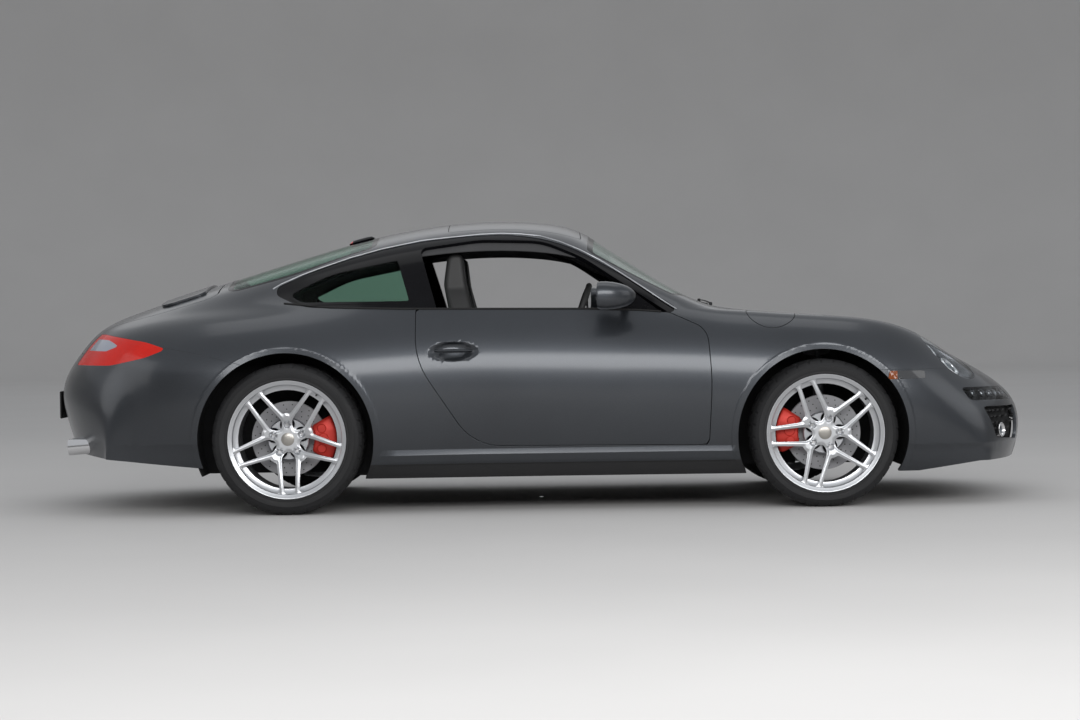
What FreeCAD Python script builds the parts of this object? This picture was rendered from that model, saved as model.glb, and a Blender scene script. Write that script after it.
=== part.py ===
"""Two-door coupe with its engine behind the rear axle, built as separate pieces on real joints.

Frame: +X is forward, +Y is the car's left, +Z is up. The origin is on the ground under the middle
of the body's length. Millimetres. Tables give "drawing" places, measured forward from the middle of
the wheelbase, sideways from the centre plane and up from the ground, at the reference sizes below.
The functions at_x, at_y and at_z carry them to the sizes in the sheet.
"""
import FreeCAD, Part
import math
import os
import Sketcher
from FreeCAD import Vector, Rotation, Placement

REF_WHEELBASE = 2350.0
REF_FRONT_OVERHANG = 975.0
REF_REAR_OVERHANG = 1110.0
REF_WIDTH = 1808.0
REF_HEIGHT = 1300.0
REF_FLOOR = 130.0

SIZES = [
    ("Wheelbase", 2350, "front axle to rear axle"),
    ("FrontOverhang", 975, "front axle to the nose"),
    ("RearOverhang", 1110, "rear axle to the tail"),
    ("BodyWidth", 1808, "over the rear arches"),
    ("BodyHeight", 1300, "ground to roof"),
    ("FloorHeight", 130, "ground to the body's underside"),
    ("PanelWall", 26, "thickness of the body's shell with its inner sheet"),
    ("GlassWall", 6, "thickness of the fixed glass"),
    ("PanelGap", 6, "gap round doors and lids"),
    ("HingeGap", 12, "gap along the engine lid's hinged edge"),
    ("DoorInset", 20, "door core inside the edge of its outer skin"),
    ("JambWidth", 44, "pillar round the door opening, seen from the side"),
    ("DoorInnerTop", 704, "centre plane to the door's inner face at the belt"),
    ("DoorInnerFoot", 736, "centre plane to the door's inner face at the sill"),
    ("FrontTyreRadius", 323.5, "front tyre, outside"),
    ("FrontTyreWidth", 235, "front tyre, over the sidewalls"),
    ("RearTyreRadius", 330, "rear tyre, outside"),
    ("RearTyreWidth", 290, "rear tyre, over the sidewalls"),
    ("FrontWheelInset", 43, "widest side of the body to the front tyre's outer wall"),
    ("RearWheelInset", 14, "widest side of the body to the rear tyre's outer wall"),
    ("RimLipRadius", 258.8, "wheel rim, outer lip"),
    ("RimSeatRadius", 241, "wheel rim, bead seat"),
    ("RimBarrelRadius", 228, "wheel rim, inside the barrel"),
    ("HubRadius", 88, "wheel centre and disc bell"),
    ("BoltCircleRadius", 65, "wheel bolts"),
    ("SpindleRadius", 24, "stub axle"),
    ("SpindleGap", 0.3, "running gap round a stub axle"),
    ("DiscRadius", 165, "brake disc"),
    ("DiscWall", 28, "brake disc thickness"),
    ("ArchGapFront", 51.5, "front tyre to the arch's edge"),
    ("ArchGapRear", 54, "rear tyre to the arch's edge"),
    ("LinerGap", 16, "arch's edge to the wheel house"),
    ("LinerWall", 5, "wheel house sheet"),
    ("FrontFacePlane", 57, "front tyre's middle plane out to the wheel's mounting face"),
    ("RearFacePlane", 67, "rear tyre's middle plane out to the wheel's mounting face"),
    ("FaceWall", 28, "thickness of the wheel at its hub"),
    ("FaceRadius", 240, "wheel face, out to the ring that carries it"),
    ("BoltSeatRadius", 15, "sunk seats of the wheel bolts"),
    ("BoltSeatDepth", 13, "depth of the bolt seats"),
    ("BellDepth", 42, "wheel's mounting face in to the brake disc's outer face"),
    ("SteeringWheelRadius", 172, "steering wheel, middle of its rim"),
    ("SteeringGripRadius", 14, "thickness of the steering wheel's rim, as a radius"),
    ("SeatWidth", 470, "front seats, over their side bolsters"),
    ("PinRadius", 4, "hinge pins"),
    ("PinGap", 0.3, "running gap round a hinge pin"),
]

doc = FreeCAD.newDocument("coupe")
sheet = doc.addObject("Spreadsheet::Sheet", "Sizes")
for row, (alias, value, note) in enumerate(SIZES, start=1):
    sheet.set("A%d" % row, alias)
    sheet.set("B%d" % row, str(value))
    sheet.set("C%d" % row, note)
    sheet.setAlias("B%d" % row, alias)
doc.recompute()


def size(alias):
    """A size from the sheet, as a plain number."""
    return float(sheet.get(alias))


WHEELBASE = size("Wheelbase")
CENTRE_SHIFT = (size("RearOverhang") - size("FrontOverhang")) / 2
FRONT_AXLE = WHEELBASE / 2 + CENTRE_SHIFT
REAR_AXLE = -WHEELBASE / 2 + CENTRE_SHIFT
HALF_WIDTH = size("BodyWidth") / 2
WALL = size("PanelWall")
GAP = size("PanelGap")


def at_x(x):
    """Drawing place along the car to the model's x."""
    half = REF_WHEELBASE / 2
    if x > half:
        return FRONT_AXLE + (x - half) * size("FrontOverhang") / REF_FRONT_OVERHANG
    if x < -half:
        return REAR_AXLE + (x + half) * size("RearOverhang") / REF_REAR_OVERHANG
    return CENTRE_SHIFT + x * WHEELBASE / REF_WHEELBASE


def at_y(y):
    """Drawing place across the car to the model's y."""
    return y * size("BodyWidth") / REF_WIDTH


def at_z(z):
    """Drawing height to the model's z."""
    share = (size("BodyHeight") - size("FloorHeight")) / (REF_HEIGHT - REF_FLOOR)
    return size("FloorHeight") + (z - REF_FLOOR) * share


# One row per cross section of the body, tail to nose. Columns: x on the centre plane, sweep (how far
# the section's sides lie towards the middle of the car), then the section's control points as
# half width and height: foot (height is the floor's), low, widest, shoulder, crown, belt, roof
# edge, and the height of the centre.
SECTIONS = [
    (-2140, 150, 690, 690, 130, 690, 130, 660, 130, 560, 130, 430, 130, 290, 130, 130),
    (-2215, 215, 720, 725, 160, 725, 190, 700, 225, 590, 255, 450, 265, 300, 268, 270),
    (-2268, 265, 745, 755, 190, 765, 270, 745, 350, 620, 400, 470, 415, 310, 418, 420),
    (-2298, 290, 765, 780, 200, 795, 360, 775, 490, 640, 550, 490, 568, 330, 573, 575),
    (-2185, 290, 775, 795, 220, 815, 440, 800, 610, 670, 695, 520, 720, 360, 730, 735),
    (-2085, 230, 785, 815, 230, 835, 490, 815, 670, 690, 785, 540, 815, 380, 835, 852),
    (-1830, 90, 790, 850, 240, 878, 520, 858, 700, 720, 832, 570, 872, 410, 906, 936),
    (-1500, 0, 790, 875, 230, 918, 510, 895, 705, 755, 862, 625, 892, 465, 986, 1046),
    (-1175, 0, 785, 875, 220, 922, 500, 898, 705, 765, 872, 655, 912, 545, 1063, 1146),
    (-820, 0, 780, 850, 220, 893, 490, 880, 710, 765, 880, 690, 960, 590, 1153, 1252),
    (-420, 0, 770, 812, 230, 860, 480, 853, 715, 755, 878, 690, 1010, 590, 1208, 1314),
    (-100, 0, 765, 810, 230, 858, 475, 848, 712, 752, 872, 690, 1005, 580, 1212, 1309),
    (110, 0, 765, 812, 230, 860, 475, 848, 712, 750, 868, 700, 970, 600, 1162, 1283),
    (240, 0, 767, 815, 230, 862, 475, 848, 712, 748, 866, 702, 945, 620, 1090, 1190),
    (460, 0, 770, 818, 230, 865, 480, 850, 712, 745, 862, 702, 900, 645, 985, 1043),
    (660, 0, 775, 828, 230, 870, 480, 853, 710, 742, 857, 690, 880, 590, 903, 913),
    (740, 0, 778, 834, 228, 875, 480, 857, 708, 740, 859, 665, 874, 540, 882, 888),
    (880, 0, 780, 842, 225, 882, 480, 862, 703, 740, 858, 640, 868, 490, 867, 869),
    (1175, 0, 785, 850, 215, 892, 480, 868, 690, 735, 856, 600, 836, 430, 822, 824),
    (1480, 30, 780, 845, 210, 885, 460, 862, 660, 715, 848, 575, 796, 400, 762, 762),
    (1700, 80, 775, 830, 200, 862, 420, 838, 600, 680, 764, 540, 724, 380, 700, 702),
    (1890, 130, 765, 805, 190, 830, 370, 800, 500, 640, 606, 500, 614, 350, 622, 626),
    (2070, 200, 755, 780, 180, 795, 310, 765, 420, 620, 490, 480, 508, 330, 516, 518),
    (2164, 250, 745, 758, 165, 765, 240, 735, 320, 610, 385, 470, 400, 320, 405, 408),
    (2150, 215, 730, 735, 150, 738, 180, 710, 215, 590, 240, 450, 248, 310, 250, 250),
    (2085, 160, 700, 700, 130, 700, 130, 670, 130, 570, 130, 440, 130, 300, 130, 130),
]


def skin_poles():
    """Control net of the body's outer skin: one row per section, right foot to left foot."""
    net = []
    for x, sweep, foot, low, low_z, wide, wide_z, shoulder, shoulder_z, crown, crown_z, \
            belt, belt_z, roof, roof_z, top_z in SECTIONS:
        half = [(foot, REF_FLOOR), (low, low_z), (wide, wide_z), (shoulder, shoulder_z),
                (crown, crown_z), (belt, belt_z), (roof, roof_z),
                (0.5 * roof, 0.3 * roof_z + 0.7 * top_z), (0, top_z)]
        full = [(-y, z) for y, z in half] + half[-2::-1]
        inwards = -sweep if x > 0 else sweep
        net.append([Vector(at_x(x + inwards * abs(y / foot) ** 3), at_y(y), at_z(z))
                    for y, z in full])
    return net


def spline_surface(net):
    """Smooth cubic surface on a control net, clamped at its edges."""
    rows, columns = len(net), len(net[0])
    mults_u = [4] + [1] * (rows - 4) + [4]
    mults_v = [4] + [1] * (columns - 4) + [4]
    surface = Part.BSplineSurface()
    surface.buildFromPolesMultsKnots(net, mults_u, mults_v,
                                     [float(k) for k in range(len(mults_u))],
                                     [float(k) for k in range(len(mults_v))],
                                     False, False, 3, 3)
    return surface


def skin_solid(net):
    """Closed solid under a skin whose edges lie in one flat plane."""
    face = spline_surface(net).toShape()
    floor = Part.Face(Part.Wire(Part.__sortEdges__(face.Edges)))
    solid = Part.makeSolid(Part.makeShell([face, floor]))
    if solid.Volume < 0:
        solid.reverse()
    return solid


def inset_net(net, depth, drop):
    """The control net moved inwards by depth; its edge also goes down by drop."""
    surface = spline_surface(net)
    rows, columns = len(net), len(net[0])
    knots_u = [0.0] * 3 + [float(k) for k in range(rows - 2)] + [float(rows - 3)] * 3
    knots_v = [0.0] * 3 + [float(k) for k in range(columns - 2)] + [float(columns - 3)] * 3
    moved = []
    for i in range(rows):
        line = []
        for j in range(columns):
            u = sum(knots_u[i + 1:i + 4]) / 3
            v = sum(knots_v[j + 1:j + 4]) / 3
            normal = surface.normal(u, v)
            point = net[i][j]
            inside = Vector(at_x(0), 0, at_z(500)) - surface.value(u, v)
            if normal.dot(inside) < 0:
                normal = normal * -1
            new = point + normal * depth
            if i in (0, rows - 1):
                ahead = -depth if point.x > 0 else depth
                narrower = 1 - depth / abs(net[i][0].y)
                new = Vector(point.x + ahead, point.y * narrower, point.z - drop)
            elif j in (0, columns - 1):
                new = Vector(point.x, point.y - math.copysign(depth, point.y), point.z - drop)
            line.append(new)
        moved.append(line)
    return moved


def rounded(points, place):
    """Closed wire through points (a, b, corner radius), each carried into space by place(a, b)."""
    count = len(points)
    corners = []
    for i, (a, b, radius) in enumerate(points):
        here = Vector(a, b, 0)
        back = Vector(*points[i - 1][:2], 0) - here
        ahead = Vector(*points[(i + 1) % count][:2], 0) - here
        half_turn = (math.pi - back.getAngle(ahead)) / 2
        reach = min(radius * math.tan(half_turn), 0.49 * back.Length, 0.49 * ahead.Length)
        if reach < 0.5:
            corners.append((here, None, here))
            continue
        back.normalize()
        ahead.normalize()
        middle = (back + ahead).normalize()
        bow = reach / math.tan(half_turn) * (1 / math.cos(half_turn) - 1)
        corners.append((here + back * reach, here + middle * bow, here + ahead * reach))
    edges = []
    for i, (start, mid, end) in enumerate(corners):
        first, last = place(start.x, start.y), place(end.x, end.y)
        following = corners[(i + 1) % count][0]
        if mid is not None:
            edges.append(Part.Arc(first, place(mid.x, mid.y), last).toShape())
        target = place(following.x, following.y)
        if last.distanceToPoint(target) > 0.01:
            edges.append(Part.makeLine(last, target))
    return Part.Wire(edges)


def prism(wire, grow, path):
    """Solid swept from a flat closed wire, which is first grown outwards by grow."""
    if grow:
        wire = wire.makeOffset2D(grow)
    return Part.Face(wire).extrude(path)


def side_prism(points, near, far, grow=0.0):
    """Solid with a side-view outline (x, z, radius), from y = near to y = far."""
    wire = rounded(points, lambda x, z: Vector(at_x(x), near, at_z(z)))
    return prism(wire, grow, Vector(0, far - near, 0))


def top_prism(points, low, high, grow=0.0):
    """Solid with a top-view outline (x, y, radius), from z = low to z = high."""
    wire = rounded(points, lambda x, y: Vector(at_x(x), at_y(y), low))
    return prism(wire, grow, Vector(0, 0, high - low))


def end_prism(points, near, far, grow=0.0):
    """Solid with an end-view outline (y, z, radius) on the right, from x = near to x = far."""
    wire = rounded(points, lambda y, z: Vector(near, -at_y(y), at_z(z)))
    return prism(wire, grow, Vector(far - near, 0, 0))


def box(x0, x1, y0, y1, z0, z1):
    """Block between two opposite corners."""
    return Part.makeBox(x1 - x0, y1 - y0, z1 - z0, Vector(x0, y0, z0))


def rod(start, end, radius):
    """Round bar from start to end."""
    return Part.makeCylinder(radius, (end - start).Length, start, end - start)


def mirrored(shape):
    """The same shape on the car's other side."""
    return shape.mirror(Vector(0, 0, 0), Vector(0, 1, 0))


def both_sides(shape):
    """A right-hand shape and its left-hand twin."""
    return Part.makeCompound([shape, mirrored(shape)])


def whole(shape):
    """The shape without the crumbs that a cut may leave: solids under a cubic centimetre."""
    solids = [solid for solid in shape.Solids if solid.Volume > 1000]
    return solids[0] if len(solids) == 1 else Part.makeCompound(solids)


def symmetric(points):
    """Top-view outline made whole from the points of its right half, front to back."""
    return points + [(x, -y, radius) for x, y, radius in reversed(points) if y != 0]


FAR = 1000.0
HIGH = 1500.0
NOSE = at_x(REF_WHEELBASE / 2 + REF_FRONT_OVERHANG)
TAIL = at_x(-REF_WHEELBASE / 2 - REF_REAR_OVERHANG)

# Side-view outlines (x, z, corner radius)
DOOR = [(-612, 893, 12), (-612, 663, 350), (-363, 288, 230), (668, 280, 14), (682, 560, 900),
        (668, 787, 90), (505, 862, 60), (200, 884, 900)]
DOOR_WINDOW = [(-512, 860, 0), (-601, 1168, 25), (-330, 1204, 500), (-50, 1196, 300),
               (130, 1118, 500), (500, 866, 10), (490, 850, 0)]
QUARTER_WINDOW = [(-628, 918, 14), (-690, 1122, 14), (-1000, 1062, 500), (-1205, 962, 60),
                  (-1120, 918, 90)]
TAIL_LAMP = [(-1700, 732, 8), (-1800, 764, 300), (-2020, 800, 100), (-2400, 800, 0),
             (-2400, 664, 0), (-1970, 660, 300), (-1800, 694, 300)]
FRONT_BUMPER = [(1350, 597, 0), (2400, 597, 0), (2400, 60, 0), (1350, 60, 0)]
REAR_BUMPER = [(-1300, 640, 0), (-1546, 705, 300), (-1706, 736, 0), (-2400, 736, 0),
               (-2400, 60, 0), (-1300, 60, 0)]
MARKER = [(1449, 553, 6), (1624, 556, 6), (1618, 592, 10), (1456, 592, 10)]
FRONT_UNDERCUT = [(1440, 128, 0), (1867, 190, 200), (2400, 190, 0), (2400, 40, 0), (1440, 40, 0)]
REAR_UNDERCUT = [(-1393, 192, 0), (-2400, 292, 0), (-2400, 40, 0), (-1393, 40, 0)]

# Top-view outlines (x, y, corner radius), right half from front to back
WINDSCREEN = symmetric([(716, 0, 0), (690, -330, 500), (540, -632, 40), (150, -535, 45),
                        (176, 0, 0)])
REAR_WINDOW = symmetric([(-800, 0, 0), (-800, -455, 60), (-1150, -515, 600), (-1480, -480, 80),
                         (-1490, 0, 0)])
FRONT_LID = symmetric([(1950, 0, 0), (1930, -290, 300), (1800, -430, 200), (1250, -545, 600),
                       (722, -600, 40), (745, -430, 200), (815, 0, 0)])
COWL = symmetric([(900, 0, 0), (900, -618, 0), (500, -618, 0), (400, 0, 0)])
ENGINE_LID = symmetric([(-1520, 0, 0), (-1520, -470, 60), (-1850, -505, 500), (-2010, -430, 130),
                        (-2500, -400, 0), (-2500, 0, 0)])

# End-view outlines (distance from the centre plane, z, corner radius)
LAMP_BAR = [(440, 446, 12), (752, 452, 14), (744, 512, 18), (452, 508, 16)]
CORNER_INTAKE = [(454, 268, 14), (700, 284, 24), (722, 426, 16), (446, 424, 14)]
CENTRE_INTAKE = [(-368, 230, 16), (368, 230, 16), (380, 352, 20), (-380, 352, 20)]
LID_FOOT = 712
SILL_TOP = 274
SEAM_ROOF = 520
FENDER_REAR = 545
LAMP_INNER = 440

net = skin_poles()
outer = skin_solid(net)
inner = skin_solid(inset_net(net, WALL, 60))
glass_inner = skin_solid(inset_net(net, size("GlassWall"), 60))
shell = outer.cut(inner)
glass_shell = outer.cut(glass_inner)


def skin_y(x, z):
    """Half width of the body at a model x and z."""
    probe = Part.makeLine(Vector(x, 0, z), Vector(x, -FAR, z)).common(outer)
    return -probe.BoundBox.YMin


def skin_z(x, y):
    """Height of the body's top at a model x and y."""
    probe = Part.makeLine(Vector(x, y, at_z(400)), Vector(x, y, HIGH)).common(outer)
    return probe.BoundBox.ZMax


# Wheels: axle x, tyre radius and width, middle plane of the tyre, arch gap
FRONT = {"x": FRONT_AXLE, "radius": size("FrontTyreRadius"), "width": size("FrontTyreWidth"),
         "y": HALF_WIDTH - size("FrontWheelInset") - size("FrontTyreWidth") / 2,
         "arch": size("FrontTyreRadius") + size("ArchGapFront")}
REAR = {"x": REAR_AXLE, "radius": size("RearTyreRadius"), "width": size("RearTyreWidth"),
        "y": HALF_WIDTH - size("RearWheelInset") - size("RearTyreWidth") / 2,
        "arch": size("RearTyreRadius") + size("ArchGapRear")}
ARCH_SHIFT = Vector(-8, 0, -6)


def arch_cylinder(wheel, grow, near, far):
    """Cylinder across the car round a wheel's arch, from |y| = near to far on the right."""
    centre = Vector(wheel["x"], -far, wheel["radius"]) + ARCH_SHIFT
    return Part.makeCylinder(wheel["arch"] + grow, far - near, centre, Vector(0, 1, 0))


pieces = {}
remaining = shell
for wheel in (FRONT, REAR):
    remaining = remaining.cut(both_sides(arch_cylinder(wheel, 0, at_y(500), FAR)))
for undercut in (FRONT_UNDERCUT, REAR_UNDERCUT):
    remaining = remaining.cut(side_prism(undercut, -FAR, FAR))


def carve(region, room=None):
    """Take a region's piece out of the body's remaining shell, with room round it if given."""
    global remaining
    piece = remaining.common(region)
    remaining = remaining.cut(room if room is not None else region)
    return piece


# Doors, windows and lids
door_skins = carve(both_sides(side_prism(DOOR, -FAR, at_y(-600))),
                   both_sides(side_prism(DOOR, -FAR, at_y(-600), GAP)))
remaining = remaining.cut(both_sides(side_prism(DOOR_WINDOW, -FAR, at_y(-480))))
quarter = both_sides(side_prism(QUARTER_WINDOW, -FAR, at_y(-480)))
pieces["quarter_windows"] = glass_shell.common(quarter)
remaining = remaining.cut(quarter)
for name, points, low in (("windscreen", WINDSCREEN, 860), ("rear_window", REAR_WINDOW, 930)):
    pane = top_prism(points, at_z(low), HIGH)
    pieces[name] = glass_shell.common(pane)
    remaining = remaining.cut(pane)
pieces["front_lid"] = carve(top_prism(FRONT_LID, at_z(560), HIGH),
                            top_prism(FRONT_LID, at_z(560) - GAP, HIGH, GAP))
pieces["engine_lid"] = carve(top_prism(ENGINE_LID, at_z(LID_FOOT), HIGH),
                             top_prism(ENGINE_LID, at_z(LID_FOOT) - GAP, HIGH, GAP))

# Lamps
headlamp_centre = Vector(at_x(1772), at_y(-632), at_z(690))
headlamp_axis = Vector(0.66, -0.30, 0.69)


def oval_bar(centre, axis, long_way, half_long, half_wide, length):
    """Bar of oval section through centre, along axis, its long way nearest to long_way."""
    along = Vector(axis).normalize()
    wide = along.cross(long_way).normalize()
    lengthways = wide.cross(along).normalize()
    start = centre - along * (length / 2)
    ellipse = Part.Ellipse(start + lengthways * half_long, start + wide * half_wide, start)
    return Part.Face(Part.Wire(ellipse.toShape())).extrude(along * length)


headlamp = oval_bar(headlamp_centre, headlamp_axis, Vector(1, 0, -1), 168, 112, 320)
lamp_lens = carve(both_sides(headlamp))
LAMP_BOWL_DEPTH = 92
LAMP_BOWL_WALL = 5
bowl_axis = Vector(headlamp_axis).normalize()


def lamp_bar(half_long, half_wide, depth):
    """Oval bar inside the right headlamp, from depth under its middle outwards."""
    length = depth + 120
    middle = headlamp_centre + bowl_axis * ((120 - depth) / 2)
    return oval_bar(middle, headlamp_axis, Vector(1, 0, -1), half_long, half_wide, length)


bowl = glass_inner.common(lamp_bar(162, 106, LAMP_BOWL_DEPTH))
bowl = bowl.cut(lamp_bar(162 - LAMP_BOWL_WALL, 106 - LAMP_BOWL_WALL, LAMP_BOWL_DEPTH - LAMP_BOWL_WALL))
lamp_glass = glass_shell.common(headlamp)
along = headlamp_axis.cross(Vector(0, 1, 0)).normalize()
for offset, radius, reach in ((-58, 56, 46), (62, 44, 40)):
    foot = headlamp_centre - bowl_axis * LAMP_BOWL_DEPTH + along * offset
    barrel = rod(foot, foot + bowl_axis * (LAMP_BOWL_DEPTH - reach), radius)
    bowl = bowl.fuse(barrel.cut(rod(foot + bowl_axis * 20, foot + bowl_axis * 90, radius - 6)))
pieces["headlamps"] = both_sides(lamp_glass.fuse(bowl))
pieces["tail_lamps"] = carve(both_sides(side_prism(TAIL_LAMP, -FAR, at_y(-LAMP_INNER))))

# Fuel flap in the right front fender
flap_centre = Vector(at_x(956), -at_y(700), 0)
flap_centre.z = skin_z(flap_centre.x, flap_centre.y)
FLAP_RADIUS = 108
flap_axis = Vector(0.03, -0.42, 0.90).normalize()


def flap_bar(radius, depth, height):
    """Cylinder along the flap's axis, from depth under the skin to height over it."""
    return Part.makeCylinder(radius, depth + height, flap_centre - flap_axis * depth, flap_axis)


pieces["fuel_flap"] = glass_shell.common(flap_bar(FLAP_RADIUS, 60, 60))
remaining = remaining.cut(flap_bar(FLAP_RADIUS + GAP, 60, 60))

# Lamp bars, side markers and air openings of the front bumper, with slats inside the openings
SLAT_WALL = 7
SLAT_PITCH = 27
NOSE_START = at_x(1700)
lamp_bars = both_sides(end_prism(LAMP_BAR, NOSE_START, NOSE + 20))
markers = both_sides(side_prism(MARKER, -FAR, at_y(-700)))
pieces["bumper_lamps"] = Part.makeCompound(glass_shell.common(lamp_bars).Solids
                                           + glass_shell.common(markers).Solids)
remaining = remaining.cut(lamp_bars).cut(markers)
grille_sheet = glass_inner.cut(inner)
slats = []
for opening, low, high in ((both_sides(end_prism(CORNER_INTAKE, NOSE_START, NOSE + 20)), 296, 410),
                           (end_prism(CENTRE_INTAKE, NOSE_START, NOSE + 20), 256, 340)):
    within = grille_sheet.common(opening)
    for z in range(low, high, SLAT_PITCH):
        slats += within.common(box(NOSE_START, NOSE + 20, -FAR, FAR, at_z(z), at_z(z) + SLAT_WALL)).Solids
    remaining = remaining.cut(opening)
pieces["intake_grilles"] = Part.makeCompound(slats)

# Bumpers, cowl, fenders, roof and sides
pieces["front_bumper"] = carve(side_prism(FRONT_BUMPER, -FAR, FAR))
pieces["rear_bumper"] = carve(side_prism(REAR_BUMPER, -FAR, FAR))
carve(box(at_x(-1000), at_x(1000), -FAR, FAR, 0, at_z(SILL_TOP)))
pieces["cowl_panel"] = carve(top_prism(COWL, at_z(840), HIGH))
pieces["front_fenders"] = carve(box(at_x(FENDER_REAR), NOSE, -FAR, FAR, 0, HIGH))
pieces["roof_panel"] = carve(box(at_x(-900), at_x(250), at_y(-SEAM_ROOF), at_y(SEAM_ROOF),
                                 at_z(1150), HIGH))
side_right = carve(box(TAIL - 50, at_x(FENDER_REAR), -FAR, 0, 0, HIGH))


def wedge(x0, x1, profile):
    """Bar along the car with a cross section given as points (y, z)."""
    points = [Vector(x0, y, z) for y, z in profile]
    return Part.Face(Part.makePolygon(points + points[:1])).extrude(Vector(x1 - x0, 0, 0))


# Doors: an outer skin, a core inside its edge, and gooseneck hinges at the front
door_side = wedge(at_x(-900), at_x(900), [
    (-FAR, at_z(200)), (-at_y(size("DoorInnerFoot")), at_z(200)),
    (-at_y(size("DoorInnerTop")), at_z(900)), (-FAR, at_z(900))])
door_core = outer.common(side_prism(DOOR, -FAR, at_y(-600), -size("DoorInset"))).common(door_side)
door = max(door_skins.Solids, key=lambda solid: -solid.CenterOfMass.y).fuse(door_core)

HINGE_AHEAD = 24
HINGE_DEPTH = 9
HINGE_HEIGHTS = (490, 600)
PIN = size("PinRadius")
EYE = PIN + 3
SWEEP_ROOM = 52
HINGE_SHEET = 1.2
hinge_x = at_x(681) + HINGE_AHEAD
hinge_y = -(skin_y(hinge_x, at_z(HINGE_HEIGHTS[1] + 14)) - HINGE_DEPTH)
door_hinge_point = Vector(hinge_x, hinge_y, at_z(HINGE_HEIGHTS[0]))
pockets = []
pins = []
under_sheet = outer.copy()
under_sheet.translate(Vector(0, HINGE_SHEET, 0))
for height in HINGE_HEIGHTS:
    z = at_z(height)
    pockets.append(under_sheet.common(rod(Vector(hinge_x, hinge_y, z - 20),
                                          Vector(hinge_x, hinge_y, z + 20), SWEEP_ROOM)))
    pins.append(rod(Vector(hinge_x, hinge_y, z - 24), Vector(hinge_x, hinge_y, z + 24), PIN))
    arm = rod(Vector(hinge_x, hinge_y, z - 14), Vector(hinge_x, hinge_y, z + 14), EYE)
    arm = arm.fuse(box(hinge_x - 5, hinge_x + 5, hinge_y, hinge_y + 42, z - 14, z + 14))
    arm = arm.fuse(box(at_x(681) - size("DoorInset") - 6, hinge_x + 5, hinge_y + 32, hinge_y + 42,
                       z - 14, z + 14))
    arm = arm.cut(rod(Vector(hinge_x, hinge_y, z - 20), Vector(hinge_x, hinge_y, z + 20),
                      PIN + size("PinGap")))
    door = door.fuse(arm)
handle_at = Vector(at_x(-447), 0, at_z(703))
handle_at.y = -skin_y(handle_at.x, handle_at.z)
HANDLE_BOWL_DEPTH = 22
HANDLE_GRIP = 9
door = door.cut(oval_bar(handle_at, Vector(0, -1, 0), Vector(1, 0, 0), 110, 43, 2 * HANDLE_BOWL_DEPTH))
grip_at = handle_at + Vector(0, HANDLE_GRIP + 1, 4)
door = door.fuse(rod(grip_at - Vector(113, 0, 0), grip_at + Vector(113, 0, 0), HANDLE_GRIP))
pieces["door_panel_right"] = door
pieces["door_panel_left"] = mirrored(door)

# Pillars round each door, under the skin
ring = side_prism(DOOR, -FAR, at_y(-600), GAP + size("JambWidth"))
ring = ring.cut(side_prism(DOOR, -FAR, at_y(-600), GAP))
jamb = inner.common(ring).common(door_side)
jamb = jamb.cut(side_prism(DOOR_WINDOW, -FAR, at_y(-480)))
jamb = jamb.cut(box(at_x(-1000), at_x(1000), -FAR, 0, 0, at_z(SILL_TOP)))
jamb = jamb.cut(box(at_x(-1000), at_x(1000), -FAR, 0, at_z(893), HIGH))
for wheel in (FRONT, REAR):
    jamb = jamb.cut(arch_cylinder(wheel, size("LinerGap") + size("LinerWall"), at_y(500), FAR))
for pocket in pockets:
    jamb = jamb.cut(pocket)
side_right = side_right.fuse(jamb)
pieces["side_panel_right"] = side_right
fenders = pieces["front_fenders"]
for pocket, pin in zip(pockets, pins):
    fenders = fenders.cut(both_sides(pocket)).fuse(both_sides(pin))

# Sills
sill = outer.common(box(at_x(-1000), at_x(1000), -FAR, -at_y(size("DoorInnerFoot")),
                        at_z(150), at_z(SILL_TOP)))
for wheel in (FRONT, REAR):
    sill = sill.cut(arch_cylinder(wheel, size("LinerGap") + size("LinerWall"), at_y(500), FAR))
pieces["sills"] = both_sides(sill)

# Fuel flap: a U-shaped arm under the fender to a pin ahead of its edge
flap_across = flap_axis.cross(Vector(1, 0, 0)).normalize()
flap_ahead = flap_across.cross(flap_axis).normalize()
FLAP_AHEAD = 16
FLAP_DEPTH = 13.5
flap_rim = flap_centre + flap_ahead * (FLAP_RADIUS + FLAP_AHEAD)
flap_rim.z = skin_z(flap_rim.x, flap_rim.y)
flap_pin = flap_rim - flap_axis * FLAP_DEPTH


def flap_block(back, front, low, high, half):
    """Block by the flap's pin: places along and up from it, and half its width across."""
    corners = [flap_pin + flap_ahead * a + flap_axis * b - flap_across * half
               for a, b in ((back, low), (front, low), (front, high), (back, high))]
    return Part.Face(Part.makePolygon(corners + corners[:1])).extrude(flap_across * (2 * half))


def flap_rod(half, radius):
    """Round bar along the flap's pin line."""
    return rod(flap_pin - flap_across * half, flap_pin + flap_across * half, radius)


flap_arm = flap_rod(8, 5).fuse(flap_block(-4, 4, -24, 0, 8)).fuse(flap_block(-46, 4, -24, -17, 8))
flap_arm = flap_arm.fuse(flap_block(-46, -38, -24, 9, 8)).cut(flap_rod(20, 2.5 + size("PinGap")))
pieces["fuel_flap"] = pieces["fuel_flap"].fuse(flap_arm)
fenders = fenders.cut(glass_inner.common(flap_rod(13, 58))).fuse(flap_rod(17, 2.5))

# Lid hinges: a pin in the gap at the lid's edge, an eye on the lid, two lugs on the body
LID_PIN = 2.5
LID_EYE = 5


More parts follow.
